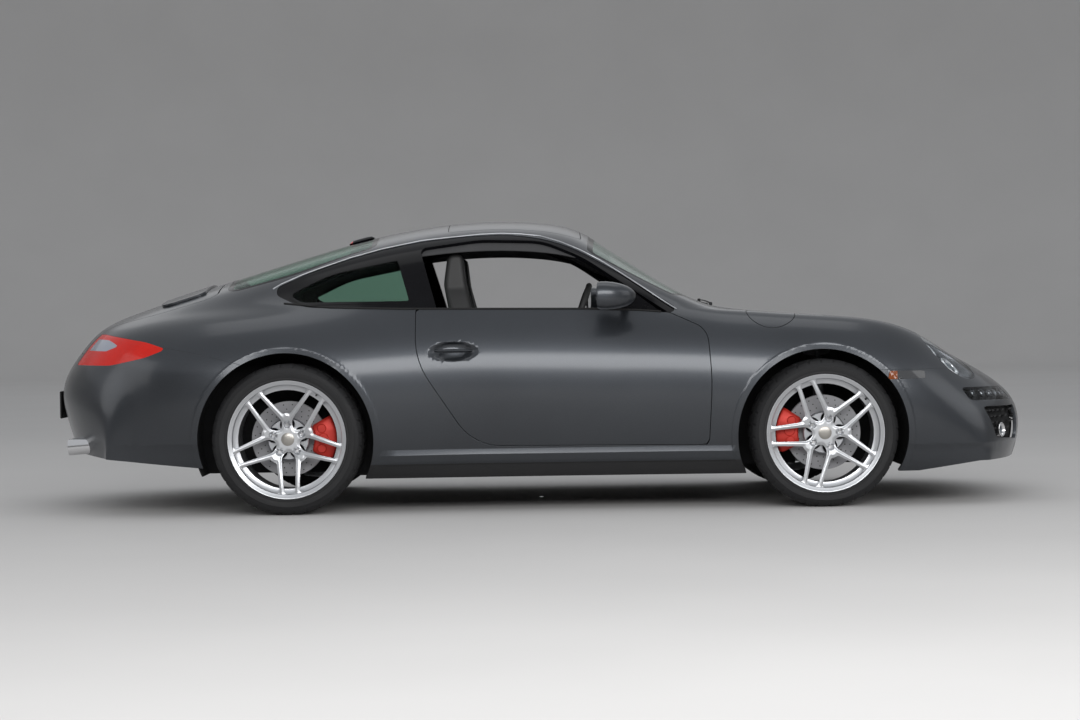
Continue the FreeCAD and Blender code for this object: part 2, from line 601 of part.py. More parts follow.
def lid_hinge(pin_at, towards_lid):
    """Eye for the lid and the pinned lugs for the body, with the room cut for each."""
    def bar(half, radius):
        return rod(pin_at - Vector(0, half, 0), pin_at + Vector(0, half, 0), radius)

    def block(near, far, y0, y1, low, high):
        xs = sorted((pin_at.x + near * towards_lid, pin_at.x + far * towards_lid))
        return box(xs[0], xs[1], pin_at.y + y0, pin_at.y + y1, pin_at.z + low, pin_at.z + high)

    eye = bar(10, LID_EYE).fuse(block(0, 20, -10, 10, -12, -2)).cut(bar(30, LID_PIN + size("PinGap")))
    lugs = bar(20, LID_PIN)
    for side in (-20, 12):
        lugs = lugs.fuse(block(-14, 3, side, side + 8, -10, 3))
    room = block(-6, 12, -26, 26, -40, 40)
    lid_room = block(-12, 6, -26, 26, -40, 40)
    return eye, lugs, room, lid_room


lid = pieces["front_lid"]
cowl = pieces["cowl_panel"]
front_pin = Vector(at_x(727), -at_y(540), 0)
front_pin.z = skin_z(front_pin.x, front_pin.y) - LID_EYE
for y in (front_pin.y, -front_pin.y):
    eye, lugs, room, lid_room = lid_hinge(Vector(front_pin.x, y, front_pin.z), 1)
    lid = lid.cut(lid_room).fuse(eye)
    cowl = cowl.cut(room).fuse(lugs)
pieces["front_lid"] = lid
pieces["cowl_panel"] = cowl
pieces["front_fenders"] = fenders
lid = pieces["engine_lid"]
rear_pin = Vector(at_x(-1514), -at_y(110), 0)
rear_pin.z = skin_z(rear_pin.x, rear_pin.y) - LID_EYE
lid = lid.cut(box(rear_pin.x - size("HingeGap"), rear_pin.x + 50, -FAR, FAR, 0, HIGH))
side_left = mirrored(side_right)
for y in (rear_pin.y, -rear_pin.y):
    eye, lugs, room, lid_room = lid_hinge(Vector(rear_pin.x, y, rear_pin.z), -1)
    lid = lid.cut(lid_room).fuse(eye)
    if y < 0:
        side_right = side_right.cut(room).fuse(lugs)
    else:
        side_left = side_left.cut(room).fuse(lugs)
pieces["engine_lid"] = lid
pieces["side_panel_right"] = side_right
pieces["side_panel_left"] = side_left

# Wheel houses
HOUSE_INNER = {"front": at_y(448), "rear": at_y(584)}
houses = []
for name, wheel in (("front", FRONT), ("rear", REAR)):
    near = HOUSE_INNER[name]
    liner = arch_cylinder(wheel, size("LinerGap") + size("LinerWall"), near, FAR)
    hollow = arch_cylinder(wheel, size("LinerGap"), near + size("LinerWall"), FAR)
    house = liner.cut(hollow).common(inner)
    house = house.common(box(TAIL, NOSE, -FAR, 0, at_z(170), HIGH))
    if name == "rear":
        hole = Vector(wheel["x"], -FAR, wheel["radius"])
        house = house.cut(Part.makeCylinder(125, FAR - near + 20, hole, Vector(0, 1, 0)))
    else:
        hole = box(wheel["x"] - 90, wheel["x"] + 90, -near - 20, -near + 20, 0, at_z(290))
        house = house.cut(hole)
    houses.append(max(house.Solids, key=lambda solid: solid.Volume))
pieces["wheel_houses"] = Part.makeCompound([both_sides(house) for house in houses])

# Floor, tunnel and bulkheads
FLOOR_TOP = at_z(172)
SHEET = 8
half_floor = at_y(size("DoorInnerFoot"))
floor = box(at_x(-900), at_x(790), -half_floor, half_floor, at_z(152), FLOOR_TOP)
tunnel = box(at_x(-900), at_x(790), -120, 120, at_z(152), at_z(330))
tunnel = tunnel.cut(box(at_x(-901), at_x(791), -120 + SHEET, 120 - SHEET, at_z(150), at_z(330) - SHEET))
floor = floor.cut(box(at_x(-901), at_x(791), -120 + SHEET, 120 - SHEET, at_z(150), at_z(330) - SHEET))
floor = floor.fuse(tunnel)
firewall = box(at_x(782), at_x(782) + SHEET, -half_floor, half_floor, at_z(152), at_z(860))
rear_wall = box(at_x(-900), at_x(-900) + SHEET, -half_floor, half_floor, at_z(152), at_z(850))
shelf = box(at_x(-1420), at_x(-900), -at_y(560), at_y(560), at_z(842), at_z(850))
floor = floor.fuse(firewall).fuse(rear_wall).fuse(shelf).common(inner)
for wheel in (FRONT, REAR):
    near = HOUSE_INNER["front"] if wheel is FRONT else HOUSE_INNER["rear"]
    room = arch_cylinder(wheel, size("LinerGap") + size("LinerWall") + 0.3, near - 0.3, FAR)
    floor = floor.cut(both_sides(room))
floor = floor.cut(both_sides(side_prism(DOOR, -FAR, at_y(-600), GAP)))
pieces["floor_pan"] = floor

well = box(at_x(790), at_x(1900), -at_y(440), at_y(440), at_z(210), at_z(600))
well = well.cut(box(at_x(790) + SHEET, at_x(1900) - SHEET, -at_y(440) + SHEET, at_y(440) - SHEET,
                    at_z(210) + SHEET, HIGH))
pieces["luggage_well"] = well.common(inner)


def revolved(profile):
    """Ring turned about the Y axis from points (radius, y)."""
    points = [Vector(radius, y, 0) for radius, y in profile]
    return Part.Face(Part.makePolygon(points + points[:1])).revolve(
        Vector(0, 0, 0), Vector(0, 1, 0), 360)


# Objects whose sizes are tied to the sheet
MIDDLE_TEXT = "(Sizes.RearOverhang - Sizes.FrontOverhang) / 2"
AXLE_TEXT = {"front": "Sizes.Wheelbase / 2 + " + MIDDLE_TEXT, "rear": "-Sizes.Wheelbase / 2 + " + MIDDLE_TEXT}


def text_x(x):
    """Expression for a drawing place along the car, the same sum as at_x."""
    half = REF_WHEELBASE / 2
    if x > half:
        return "%s + %r * Sizes.FrontOverhang / %r" % (AXLE_TEXT["front"], x - half, REF_FRONT_OVERHANG)
    if x < -half:
        return "%s + %r * Sizes.RearOverhang / %r" % (AXLE_TEXT["rear"], x + half, REF_REAR_OVERHANG)
    return "%s + %r * Sizes.Wheelbase / %r" % (MIDDLE_TEXT, x, REF_WHEELBASE)


def text_y(y):
    """Expression for a drawing place across the car, the same sum as at_y."""
    return "%r * Sizes.BodyWidth / %r" % (y, REF_WIDTH)


def text_z(z):
    """Expression for a drawing height, the same sum as at_z."""
    return "Sizes.FloorHeight + %r * (Sizes.BodyHeight - Sizes.FloorHeight) / %r" % (
        z - REF_FLOOR, REF_HEIGHT - REF_FLOOR)


def stand_at(item, x, y, z, turn=Rotation()):
    """Place an object at drawing places, tied to the sheet."""
    item.Placement = Placement(Vector(at_x(x), at_y(y), at_z(z)), turn)
    for name, text in (("x", text_x(x)), ("y", text_y(y)), ("z", text_z(z))):
        item.setExpression("Placement.Base." + name, text)
    return item


def block(name, xs, ys, zs):
    """Block between two drawing places on each axis."""
    item = doc.addObject("Part::Box", name)
    for side, span, text in (("Length", xs, text_x), ("Width", ys, text_y), ("Height", zs, text_z)):
        item.setExpression(side, "(%s) - (%s)" % (text(span[1]), text(span[0])))
    return stand_at(item, xs[0], ys[0], zs[0])


def bar(name, start, end, radius):
    """Round bar between two drawing places."""
    item = doc.addObject("Part::Cylinder", name)
    near, far = (Vector(at_x(p[0]), at_y(p[1]), at_z(p[2])) for p in (start, end))
    item.Radius = radius
    item.Height = (far - near).Length
    return stand_at(item, *start, turn=Rotation(Vector(0, 0, 1), far - near))


def united(name, items):
    """One solid from several objects."""
    item = doc.addObject("Part::MultiFuse", name)
    item.Shapes = items
    return item


def less(name, base, tool):
    """One object with another cut out of it."""
    item = doc.addObject("Part::Cut", name)
    item.Base = base
    item.Tool = tool
    return item


def feature(name, shape):
    """Object with a ready shape."""
    item = doc.addObject("Part::Feature", name)
    item.Shape = shape
    return item


def pair(name, item):
    """A right-hand object and its left-hand twin as one node."""
    twin = doc.addObject("Part::Mirroring", name + "_twin")
    twin.Source = item
    twin.Base = Vector(0, 0, 0)
    twin.Normal = Vector(0, 1, 0)
    both = doc.addObject("Part::Compound", name)
    both.Links = [item, twin]
    return both


def tied(alias, offset=0.0, factor=1.0):
    """A sketch place tied to a size: its value now, and the expression that keeps it."""
    return (factor * size(alias) + offset, "Sizes.%s * %r + %r" % (alias, factor, offset))


def fixed(value):
    """A sketch place that no size moves."""
    return (value, None)


def origin_part(body, role):
    """Plane or axis of a body's origin."""
    return [item for item in body.Origin.OriginFeatures if item.Role == role][0]


def sketch_on(body, name, role, out=0.0):
    """Sketch on one of the body's own planes, moved out along the plane's normal."""
    sketch = body.newObject("Sketcher::SketchObject", name)
    sketch.AttachmentSupport = (origin_part(body, role), [""])
    sketch.MapMode = "FlatFace"
    sketch.AttachmentOffset = Placement(Vector(0, 0, out), Rotation())
    return sketch


def tied_outline(sketch, corners):
    """Closed outline of straight lines whose corners (radius, across) are tied to the sheet."""
    count = len(corners)
    places = [Vector(radius[0], across[0], 0) for radius, across in corners]
    for i, place in enumerate(places):
        sketch.addGeometry(Part.LineSegment(place, places[(i + 1) % count]), False)
    for i in range(count):
        sketch.addConstraint(Sketcher.Constraint("Coincident", i, 2, (i + 1) % count, 1))
    for i, corner in enumerate(corners):
        for kind, (value, text) in zip(("DistanceX", "DistanceY"), corner):
            index = sketch.addConstraint(Sketcher.Constraint(kind, -1, 1, i, 1, value))
            if text:
                sketch.setExpression("Constraints[%d]" % index, text)


def rounded_outline(sketch, points):
    """Closed outline through points (across, up, corner radius) with round corners."""
    wire = rounded(points, lambda a, b: Vector(a, b, 0))
    for edge in wire.Edges:
        start, end = (edge.valueAt(edge.ParameterRange[k]) for k in (0, 1))
        if edge.Curve.TypeId == "Part::GeomLine":
            sketch.addGeometry(Part.LineSegment(start, end), False)
        else:
            middle = edge.valueAt(sum(edge.ParameterRange) / 2)
            sketch.addGeometry(Part.Arc(start, middle, end), False)


def turned_feature(body, name, sketch):
    """Full turn of a sketch about the body's Y axis."""
    item = body.newObject("PartDesign::Revolution", name)
    item.Profile = sketch
    item.ReferenceAxis = (origin_part(body, "Y_Axis"), [""])
    item.Angle = 360
    doc.recompute()
    return item


def pocket(body, name, sketch, depth=None):
    """Pocket of a sketch: through everything both ways, or depth outwards from the sketch."""
    before = body.Shape.Volume
    item = body.newObject("PartDesign::Pocket", name)
    item.Profile = sketch
    if depth is None:
        item.Type = 1
        item.Midplane = True
    else:
        item.Length = depth
        item.Reversed = True
    doc.recompute()
    if body.Shape.Volume > before - 1:
        raise RuntimeError("%s cuts nothing" % name)
    return item


def five_times(body, name, item):
    """A feature repeated five times round the body's Y axis."""
    pattern = body.newObject("PartDesign::PolarPattern", name)
    pattern.Originals = [item]
    pattern.Axis = (origin_part(body, "Y_Axis"), [""])
    pattern.Angle = 360
    pattern.Occurrences = 5
    body.Tip = pattern
    doc.recompute()


def turned_points(points, degrees):
    """Outline points turned about the middle."""
    c, s = math.cos(math.radians(degrees)), math.sin(math.radians(degrees))
    return [(c * a - s * b, s * a + c * b, radius) for a, b, radius in points]


# Wheels, each in its own frame: -Y is outwards. Every arm of the face forks into two spokes, so the
# face keeps a window inside each fork and a window between neighbouring arms.
TWIST = {"front": 2, "rear": 22}
ARMS = 5
FORK_WINDOW = [(94, 0, 12), (233, -117, 6), (262, 0, 1), (233, 117, 6)]
GAP_WINDOW = [(61, -13, 7), (75, -32, 12), (252, -22, 1), (252, 22, 1), (75, 32, 12), (61, 13, 7)]
RIM_FLANGE = 6
BEAD_WALL = 11.7
RING_INNER = 22.8
PLANE = {"front": -size("FrontFacePlane"), "rear": -size("RearFacePlane")}
DISC_AT = {name: plane + size("BellDepth") for name, plane in PLANE.items()}
FACE_WALL = size("FaceWall")


def wheel_place(name, side):
    """Expressions of a wheel's centre."""
    end = name.capitalize()
    across = "Sizes.BodyWidth / 2 - Sizes.%sWheelInset - Sizes.%sTyreWidth / 2" % (end, end)
    return {"x": AXLE_TEXT[name], "y": "%d * (%s)" % (side, across), "z": "Sizes.%sTyreRadius" % end}


def wheel_body(label, name, side):
    """Empty body at a wheel's centre; the left wheels are turned half round."""
    wheel = FRONT if name == "front" else REAR
    body = doc.addObject("PartDesign::Body", label)
    turn = Rotation(Vector(0, 0, 1), 0 if side < 0 else 180)
    body.Placement = Placement(Vector(wheel["x"], side * wheel["y"], wheel["radius"]), turn)
    for axis, text in wheel_place(name, side).items():
        body.setExpression("Placement.Base." + axis, text)
    return body


def make_tyre(body, name):
    """Tyre with its beads, sidewalls and shoulders."""
    end = name.capitalize()

    def wall(offset, sign):
        return tied(end + "TyreWidth", -sign * offset, 0.5 * sign)

    radius = end + "TyreRadius"
    half = [("RimSeatRadius", 0, 18), ("RimLipRadius", 0.3, 18), ("RimLipRadius", 0.3, 6),
            ("RimLipRadius", 15.2, 1), ("RimLipRadius", 33.2, 0), (radius, -16, 12), (radius, -4, 26),
            (radius, 0, 44)]
    corners = [(tied(alias, more), wall(offset, -1)) for alias, more, offset in half]
    corners += [(tied(alias, more), wall(offset, 1)) for alias, more, offset in reversed(half)]
    sketch = sketch_on(body, body.Name + "_section", "XY_Plane")
    tied_outline(sketch, corners)
    turned_feature(body, body.Name + "_turn", sketch)


def make_rim(body, name):
    """Forged wheel: dished face with forked spokes and bolt seats inside a turned barrel."""
    end = name.capitalize()

    def wall(offset, sign):
        return tied(end + "TyreWidth", -sign * offset, 0.5 * sign)

    plane = tied(end + "FacePlane", 0, -1)
    front = tied(end + "FacePlane", -FACE_WALL, -1)
    face = sketch_on(body, body.Name + "_face", "XY_Plane")
    bore = tied("SpindleRadius", size("SpindleGap"))
    tied_outline(face, [(bore, plane), (tied("HubRadius"), plane), (tied("FaceRadius"), wall(46, -1)),
                        (tied("FaceRadius"), wall(18, -1)), (tied("FaceRadius", -50), wall(21, -1)),
                        (tied("HubRadius", 32), tied(end + "FacePlane", -FACE_WALL - 9, -1)),
                        (tied("HubRadius", -12), front), (bore, front)])
    turned_feature(body, body.Name + "_face_turn", face)
    for kind, window, turn in (("fork", FORK_WINDOW, 0), ("gap", GAP_WINDOW, 180 / ARMS)):
        sketch = sketch_on(body, "%s_%s_window" % (body.Name, kind), "XZ_Plane")
        rounded_outline(sketch, turned_points(window, TWIST[name] + turn))
        cut = pocket(body, "%s_%s_cut" % (body.Name, kind), sketch)
        five_times(body, "%s_%s_cuts" % (body.Name, kind), cut)
    seats = sketch_on(body, body.Name + "_bolt_seats", "XZ_Plane", size(end + "FacePlane") + FACE_WALL -
                      size("BoltSeatDepth"))
    seats.setExpression("AttachmentOffset.Base.z",
                        "Sizes.%sFacePlane + Sizes.FaceWall - Sizes.BoltSeatDepth" % end)
    for arm in range(ARMS):
        angle = math.radians(TWIST[name] + 360 / ARMS * arm)
        middle = Vector(math.cos(angle), math.sin(angle), 0) * size("BoltCircleRadius")
        seats.addGeometry(Part.Circle(middle, Vector(0, 0, 1), size("BoltSeatRadius")), False)
    pocket(body, body.Name + "_bolt_seat_cut", seats, 3 * size("BoltSeatDepth"))
    barrel = sketch_on(body, body.Name + "_barrel", "XY_Plane")
    lip, seat, inner_ring = tied("RimLipRadius"), tied("RimSeatRadius"), tied("RimLipRadius", -RING_INNER)
    bead = RIM_FLANGE + BEAD_WALL
    tied_outline(barrel, [(lip, wall(RIM_FLANGE, -1)), (lip, wall(bead, -1)), (seat, wall(bead, -1)),
                          (seat, wall(bead, 1)), (lip, wall(bead, 1)), (lip, wall(RIM_FLANGE, 1)),
                          (tied("RimLipRadius", -6), wall(RIM_FLANGE, 1)),
                          (tied("RimBarrelRadius"), wall(24, 1)), (tied("RimBarrelRadius"), wall(50, -1)),
                          (inner_ring, wall(44, -1)),
                          (inner_ring, wall(17, -1)), (tied("RimLipRadius", -7), wall(RIM_FLANGE, -1))])
    turned_feature(body, body.Name + "_barrel_turn", barrel)


def make_disc(body, name):
    """Brake disc with its bell."""
    end = name.capitalize()

    def across(offset):
        return tied(end + "FacePlane", offset, -1)

    bore, bell, inside = tied("SpindleRadius", size("SpindleGap")), tied("HubRadius"), tied("HubRadius", -6)
    near = size("BellDepth")
    far = near + size("DiscWall")
    sketch = sketch_on(body, body.Name + "_section", "XY_Plane")
    edge = tied("DiscRadius")
    tied_outline(sketch, [(bore, across(0)), (bell, across(0)), (bell, across(near)), (edge, across(near)),
                          (edge, across(far)), (inside, across(far)), (inside, across(8)), (bore, across(8))])
    turned_feature(body, body.Name + "_turn", sketch)


# Knuckles, calipers and hub carriers, right side in place
BALL_LOW = Vector(FRONT["x"], -(FRONT["y"] - 40), FRONT["radius"] - 138)
STRUT_TOP = Vector(FRONT["x"], -at_y(545), at_z(690))
STEER_AXIS = (STRUT_TOP - BALL_LOW).normalize()
BALL_PIN = 9
SUSPENSION_FIT = BALL_PIN + size("PinGap")
UPRIGHT_GAP = 12
UPRIGHT_WALL = 30
CALIPER_SPREAD = 30


def wheel_centre(wheel):
    """Centre of a right-hand wheel."""
    return Vector(wheel["x"], -wheel["y"], wheel["radius"])


def caliper_block(wheel, name, towards):
    """Brake caliper over the disc: towards is +1 ahead of the axle or -1 behind it."""
    out = DISC_AT[name]
    solid = revolved([(112, out - 36), (206, out - 36), (216, out - 20), (216, out + 48), (206, out + 64),
                      (112, out + 64)])
    slot = revolved([(0, out - 5), (size("DiscRadius") + 6, out - 5),
                     (size("DiscRadius") + 6, out + size("DiscWall") + 5), (0, out + size("DiscWall") + 5)])
    reach = 400
    half = reach * math.tan(math.radians(CALIPER_SPREAD))
    window = [Vector(0, -reach, 0), Vector(towards * reach, -reach, half),
              Vector(towards * reach, -reach, -half)]
    wedge_solid = Part.Face(Part.makePolygon(window + window[:1])).extrude(Vector(0, 2 * reach, 0))
    solid = solid.cut(slot).common(wedge_solid)
    for share in (-0.62, 0, 0.62):
        angle = math.radians(CALIPER_SPREAD * 0.9 * share)
        piston = Vector(towards * 152 * math.cos(angle), out - 39, 152 * math.sin(angle))
        solid = solid.fuse(rod(piston, piston + Vector(0, 8, 0), 23))
    solid.translate(wheel_centre(wheel))
    return solid


def upright(wheel, name):
    """Plate behind the disc with the stub axle through it."""
    centre = wheel_centre(wheel)
    back = DISC_AT[name] + size("DiscWall") + UPRIGHT_GAP
    body = Part.makeCylinder(62, UPRIGHT_WALL, centre + Vector(0, back, 0), Vector(0, 1, 0))
    return body.fuse(Part.makeCylinder(size("SpindleRadius"), back - PLANE[name] + FACE_WALL - 8,
                                       centre + Vector(0, back, 0), Vector(0, -1, 0)))


def caliper_ear(wheel, name, towards):
    """Bracket from the upright out to the caliper's inner half."""
    back = DISC_AT[name] + size("DiscWall") + UPRIGHT_GAP
    ear = box(min(0, towards * 150), max(0, towards * 150), back, back + 24, -40, 40)
    ear.translate(wheel_centre(wheel))
    return ear


caliper_front = caliper_block(FRONT, "front", -1)
strut_foot = BALL_LOW + STEER_AXIS * 230
knuckle = upright(FRONT, "front").fuse(caliper_ear(FRONT, "front", -1))
for start, end, radius in ((18, 230, 22), (-16, 20, BALL_PIN)):
    knuckle = knuckle.fuse(rod(BALL_LOW + STEER_AXIS * start, BALL_LOW + STEER_AXIS * end, radius))
knuckle = knuckle.fuse(rod(strut_foot, STRUT_TOP - STEER_AXIS * 40, 24))
knuckle = knuckle.fuse(rod(STRUT_TOP - STEER_AXIS * 44, STRUT_TOP, BALL_PIN)).cut(caliper_front)
caliper_rear = caliper_block(REAR, "rear", 1)
pieces["knuckle_right"] = knuckle
pieces["knuckle_left"] = mirrored(knuckle)
pieces["caliper_front_right"] = caliper_front
pieces["caliper_front_left"] = mirrored(caliper_front)
pieces["calipers_rear"] = both_sides(caliper_rear)

# Suspension: cross members, lower arms, rear carriers, half shafts and strut mounts
ARM_HALF = 30
front_arm = box(FRONT["x"] - ARM_HALF, FRONT["x"] + ARM_HALF, BALL_LOW.y, -at_y(250), BALL_LOW.z - 12,
                BALL_LOW.z + 10)
front_arm = front_arm.fuse(Part.makeCylinder(21, 22, BALL_LOW - Vector(0, 0, 12), Vector(0, 0, 1)))
front_arm = front_arm.cut(rod(BALL_LOW - STEER_AXIS * 60, BALL_LOW + STEER_AXIS * 60, SUSPENSION_FIT))
cross = box(FRONT["x"] - 90, FRONT["x"] + 90, -at_y(300), 0, BALL_LOW.z - 16, at_z(210))
mount_plate = Part.makeCylinder(60, 26, STRUT_TOP - STEER_AXIS * 16, STEER_AXIS)
mount_plate = mount_plate.cut(rod(STRUT_TOP - STEER_AXIS * 60, STRUT_TOP + STEER_AXIS * 60, SUSPENSION_FIT))
mount_plate = mount_plate.common(arch_cylinder(FRONT, size("LinerGap"), at_y(300), FAR))
half = front_arm.fuse(cross)
pieces["front_suspension"] = Part.makeCompound([half.fuse(mirrored(half)), both_sides(mount_plate)])
carrier = upright(REAR, "rear").fuse(caliper_ear(REAR, "rear", 1)).cut(caliper_rear)
carrier_back = -REAR["y"] + DISC_AT["rear"] + size("DiscWall") + UPRIGHT_GAP + UPRIGHT_WALL
arm_top = REAR["radius"] - 70
rear_arm = box(REAR["x"] - ARM_HALF, REAR["x"] + ARM_HALF, carrier_back, -at_y(250), arm_top - 30, arm_top)
rear_post = box(REAR["x"] - 26, REAR["x"] + 26, carrier_back, carrier_back + 26, arm_top - 30, REAR["radius"])
shaft = rod(Vector(REAR["x"], -at_y(160), REAR["radius"]), Vector(REAR["x"], carrier_back, REAR["radius"]),
            15)
rear_cross = box(REAR["x"] - 40, REAR["x"] + 40, -at_y(300), 0, arm_top - 34, at_z(264))
half = carrier.fuse(rear_arm).fuse(rear_post).fuse(shaft).fuse(rear_cross)
pieces["rear_suspension"] = half.fuse(mirrored(half))

# Tunnels in the rear bumper over the exhaust's tips
TIPS = (490, 585)
tunnels = both_sides(box(TAIL - 5, at_x(-1990), -at_y(640), -at_y(435), 0, at_z(356)))
pieces["rear_bumper"] = pieces["rear_bumper"].cut(tunnels)

# Dashboard with its hood over the dials, console and column
COLUMN_AXIS = Vector(0.94, 0, -0.34).normalize()
WHEEL_DRAWN = (104, -370, 826)
wheel_at = Vector(at_x(WHEEL_DRAWN[0]), at_y(WHEEL_DRAWN[1]), at_z(WHEEL_DRAWN[2]))
SHAFT = 12
DASH = [(452, 600, 30), (400, 690, 60), (420, 800, 50), (500, 850, 60), (782, 860, 0), (782, 600, 0)]
dash = side_prism(DASH, -at_y(700), at_y(700))
hood = oval_bar(Vector(at_x(520), at_y(WHEEL_DRAWN[1]), at_z(800)), Vector(1, 0, -0.1), Vector(0, 1, 0),
                190, 84, 230)
console = side_prism([(-250, 330, 10), (-250, 470, 40), (-60, 430, 120), (200, 430, 120), (430, 620, 60),
                      (500, 620, 0), (500, 330, 0)], -110, 110)
column = rod(wheel_at + COLUMN_AXIS * 120, wheel_at + COLUMN_AXIS * 440, 34)
bore = rod(wheel_at + COLUMN_AXIS * 60, wheel_at + COLUMN_AXIS * 430, SHAFT + size("PinGap"))
dash = dash.fuse(hood).common(inner).fuse(console).fuse(column)
pieces["dashboard"] = dash.cut(bore)

# Mirrors, wipers, spoiler, high brake lamp
MIRROR_SIDE = [(186, 874, 26), (330, 880, 70), (356, 936, 60), (300, 1000, 70), (186, 1002, 20)]
MIRROR_TOP = [(186, -796, 20), (320, -806, 70), (356, -868, 60), (300, -962, 90), (186, -970, 26)]
mirror = side_prism(MIRROR_SIDE, -FAR, 0).common(top_prism(MIRROR_TOP, at_z(800), at_z(1100)))
foot = box(at_x(270), at_x(380), -at_y(850), -at_y(722), at_z(898), at_z(926))
sail = side_prism([(250, 850, 0), (468, 850, 0), (468, 876, 10), (330, 985, 14)], -at_y(735), -at_y(720))
mirror = mirror.fuse(foot).fuse(sail).cut(door)
pieces["mirror_right"] = mirror
pieces["mirror_left"] = mirrored(mirror)


def over_skin(x, y, rise):
    """Place over the body's top, by drawing places."""
    return Vector(at_x(x), at_y(y), skin_z(at_x(x), at_y(y)) + rise)


# One row per wiper: pivot (x, y), then the blade's ends (x, y)
WIPERS = [((716, -380), (652, -480), (694, -30)), ((730, 60), (694, 20), (660, 460))]
wipers = []
for pivot, near, far in WIPERS:
    root = over_skin(*pivot, -6)
    crook = over_skin(*pivot, 8)
    middle = over_skin((near[0] + far[0]) / 2, (near[1] + far[1]) / 2, 12)
    wiper = rod(root, crook, 8).fuse(rod(crook, middle, 4)).fuse(Part.makeSphere(8, crook))
    inboard, outboard = over_skin(*near, 8), over_skin(*far, 8)
    wiper = wiper.fuse(rod(inboard, middle, 4)).fuse(rod(middle, outboard, 4))
    wiper = wiper.fuse(Part.makeSphere(6, middle))
    wipers += wiper.cut(outer).Solids
pieces["wipers"] = Part.makeCompound(wipers)

SPOILER_RISE = Vector(-3, 0, 12)
SLOT_PITCH = 17
SPOILER = symmetric([(-1590, 0, 0), (-1590, -380, 40), (-1790, -400, 60), (-1790, 0, 0)])
spoiler = outer.common(top_prism(SPOILER, at_z(800), HIGH))
spoiler.translate(SPOILER_RISE)
spoiler = spoiler.cut(outer)
for x in range(-1745, -1610, SLOT_PITCH):
    for side in (-1, 1):
        ends = sorted((side * at_y(24), side * at_y(330)))
        spoiler = spoiler.cut(box(at_x(x), at_x(x) + 8, ends[0], ends[1], at_z(800), HIGH))
pieces["rear_spoiler"] = spoiler

BRAKE_LAMP = [(-836, 64, 22), (-954, 64, 30), (-954, -64, 30), (-836, -64, 22)]
brake_lamp = outer.copy()
brake_lamp.translate(Vector(0, 0, 18))
pieces["high_brake_lamp"] = brake_lamp.common(top_prism(BRAKE_LAMP, at_z(1100), HIGH)).cut(outer)

# Slots of the engine lid's grille, ahead of the spoiler
lid = pieces["engine_lid"]
for x in (-1586, -1569, -1552):
    for side in (-1, 1):
        ends = sorted((side * at_y(24), side * at_y(330)))
        lid = lid.cut(box(at_x(x), at_x(x) + 8, ends[0], ends[1], at_z(800), HIGH))
pieces["engine_lid"] = lid

# Screw holes behind the plate holder
REAR_END = -(REF_WHEELBASE / 2 + REF_REAR_OVERHANG)
PLATE_HOLES = (-150, 150)
PLATE_HEIGHT = 476
for y in PLATE_HOLES:
    start = Vector(at_x(REAR_END - 1), at_y(y), at_z(PLATE_HEIGHT))
    pieces["rear_bumper"] = pieces["rear_bumper"].cut(rod(start, start + Vector(110, 0, 0), 3))

# Nodes that follow the body's surface
for name, shape in pieces.items():
    feature(name, whole(shape))

# Nodes made of sketches and plain bodies
for name in ("front", "rear"):
    for label, side in (("right", -1), ("left", 1)):
        for kind, make in (("tyre", make_tyre), ("rim", make_rim), ("brake_disc", make_disc)):
            make(wheel_body("%s_%s_%s" % (kind, name, label), name, side), name)

united("engine_block", [block("engine", (-1950, -1450), (-330, 330), (300, 680)),
                        block("gearbox", (-1450, -900), (-160, 160), (264, 460))])

tips = [bar("silencer", (-1960, -610, 336), (-1960, -330, 336), 72)]
for number, y in enumerate(TIPS, start=1):
    pipe = bar("tip_%d" % number, (-2182, -y, 296), (-1990, -y, 310), 36)
    bore = bar("tip_bore_%d" % number, (-2190, -y, 295.5), (-2060, -y, 305), 32)
    tips.append(less("tip_pipe_%d" % number, pipe, bore))
pair("exhaust", united("exhaust_right", tips))

skin_body = feature("body_skin", outer)
holder = block("holder_box", (REAR_END, REAR_END + 60), (-262, 262), (413, 539))
holder = less("holder_block", holder, skin_body)
for name, y in zip(("holder_drilled", "plate_holder"), PLATE_HOLES):
    hole = bar(name + "_hole", (REAR_END - 1, y, PLATE_HEIGHT), (REAR_END + 109, y, PLATE_HEIGHT), 3)
    holder = less(name, holder, hole)

SEAT_SIDE = [(-330, 172, 8), (150, 172, 20), (176, 330, 45), (168, 412, 45), (-60, 372, 160), (-205, 400, 70),
             (-372, 905, 220), (-398, 1010, 60), (-412, 1140, 26), (-476, 1140, 36), (-496, 1000, 120),
             (-380, 420, 160)]
SEAT_HOLLOW = [(200, 500, 10), (200, 386, 10), (-60, 348, 160), (-230, 380, 70), (-398, 900, 220),
               (-330, 940, 30), (-100, 560, 60)]
HOLLOW_SHARE = 0.56
SHOULDER = [(1190, 300, 4), (1190, 128, 4), (985, 136, 50), (915, 190, 60), (860, 300, 4)]
seat = doc.addObject("PartDesign::Body", "seat_right")
stand_at(seat, 0, -385, REF_FLOOR)
side_view = sketch_on(seat, "seat_side", "XZ_Plane")
rounded_outline(side_view, [(x, z - REF_FLOOR, radius) for x, z, radius in SEAT_SIDE])
pad = seat.newObject("PartDesign::Pad", "seat_pad")
pad.Profile = side_view
pad.Midplane = True
pad.setExpression("Length", "Sizes.SeatWidth")
doc.recompute()
hollow = sketch_on(seat, "seat_hollow", "XZ_Plane", 0)
rounded_outline(hollow, [(x, z - REF_FLOOR, radius) for x, z, radius in SEAT_HOLLOW])
trough = seat.newObject("PartDesign::Pocket", "seat_trough")
trough.Profile = hollow
trough.Midplane = True
trough.setExpression("Length", "Sizes.SeatWidth * %r" % HOLLOW_SHARE)
doc.recompute()
shoulders = sketch_on(seat, "seat_shoulders", "YZ_Plane")
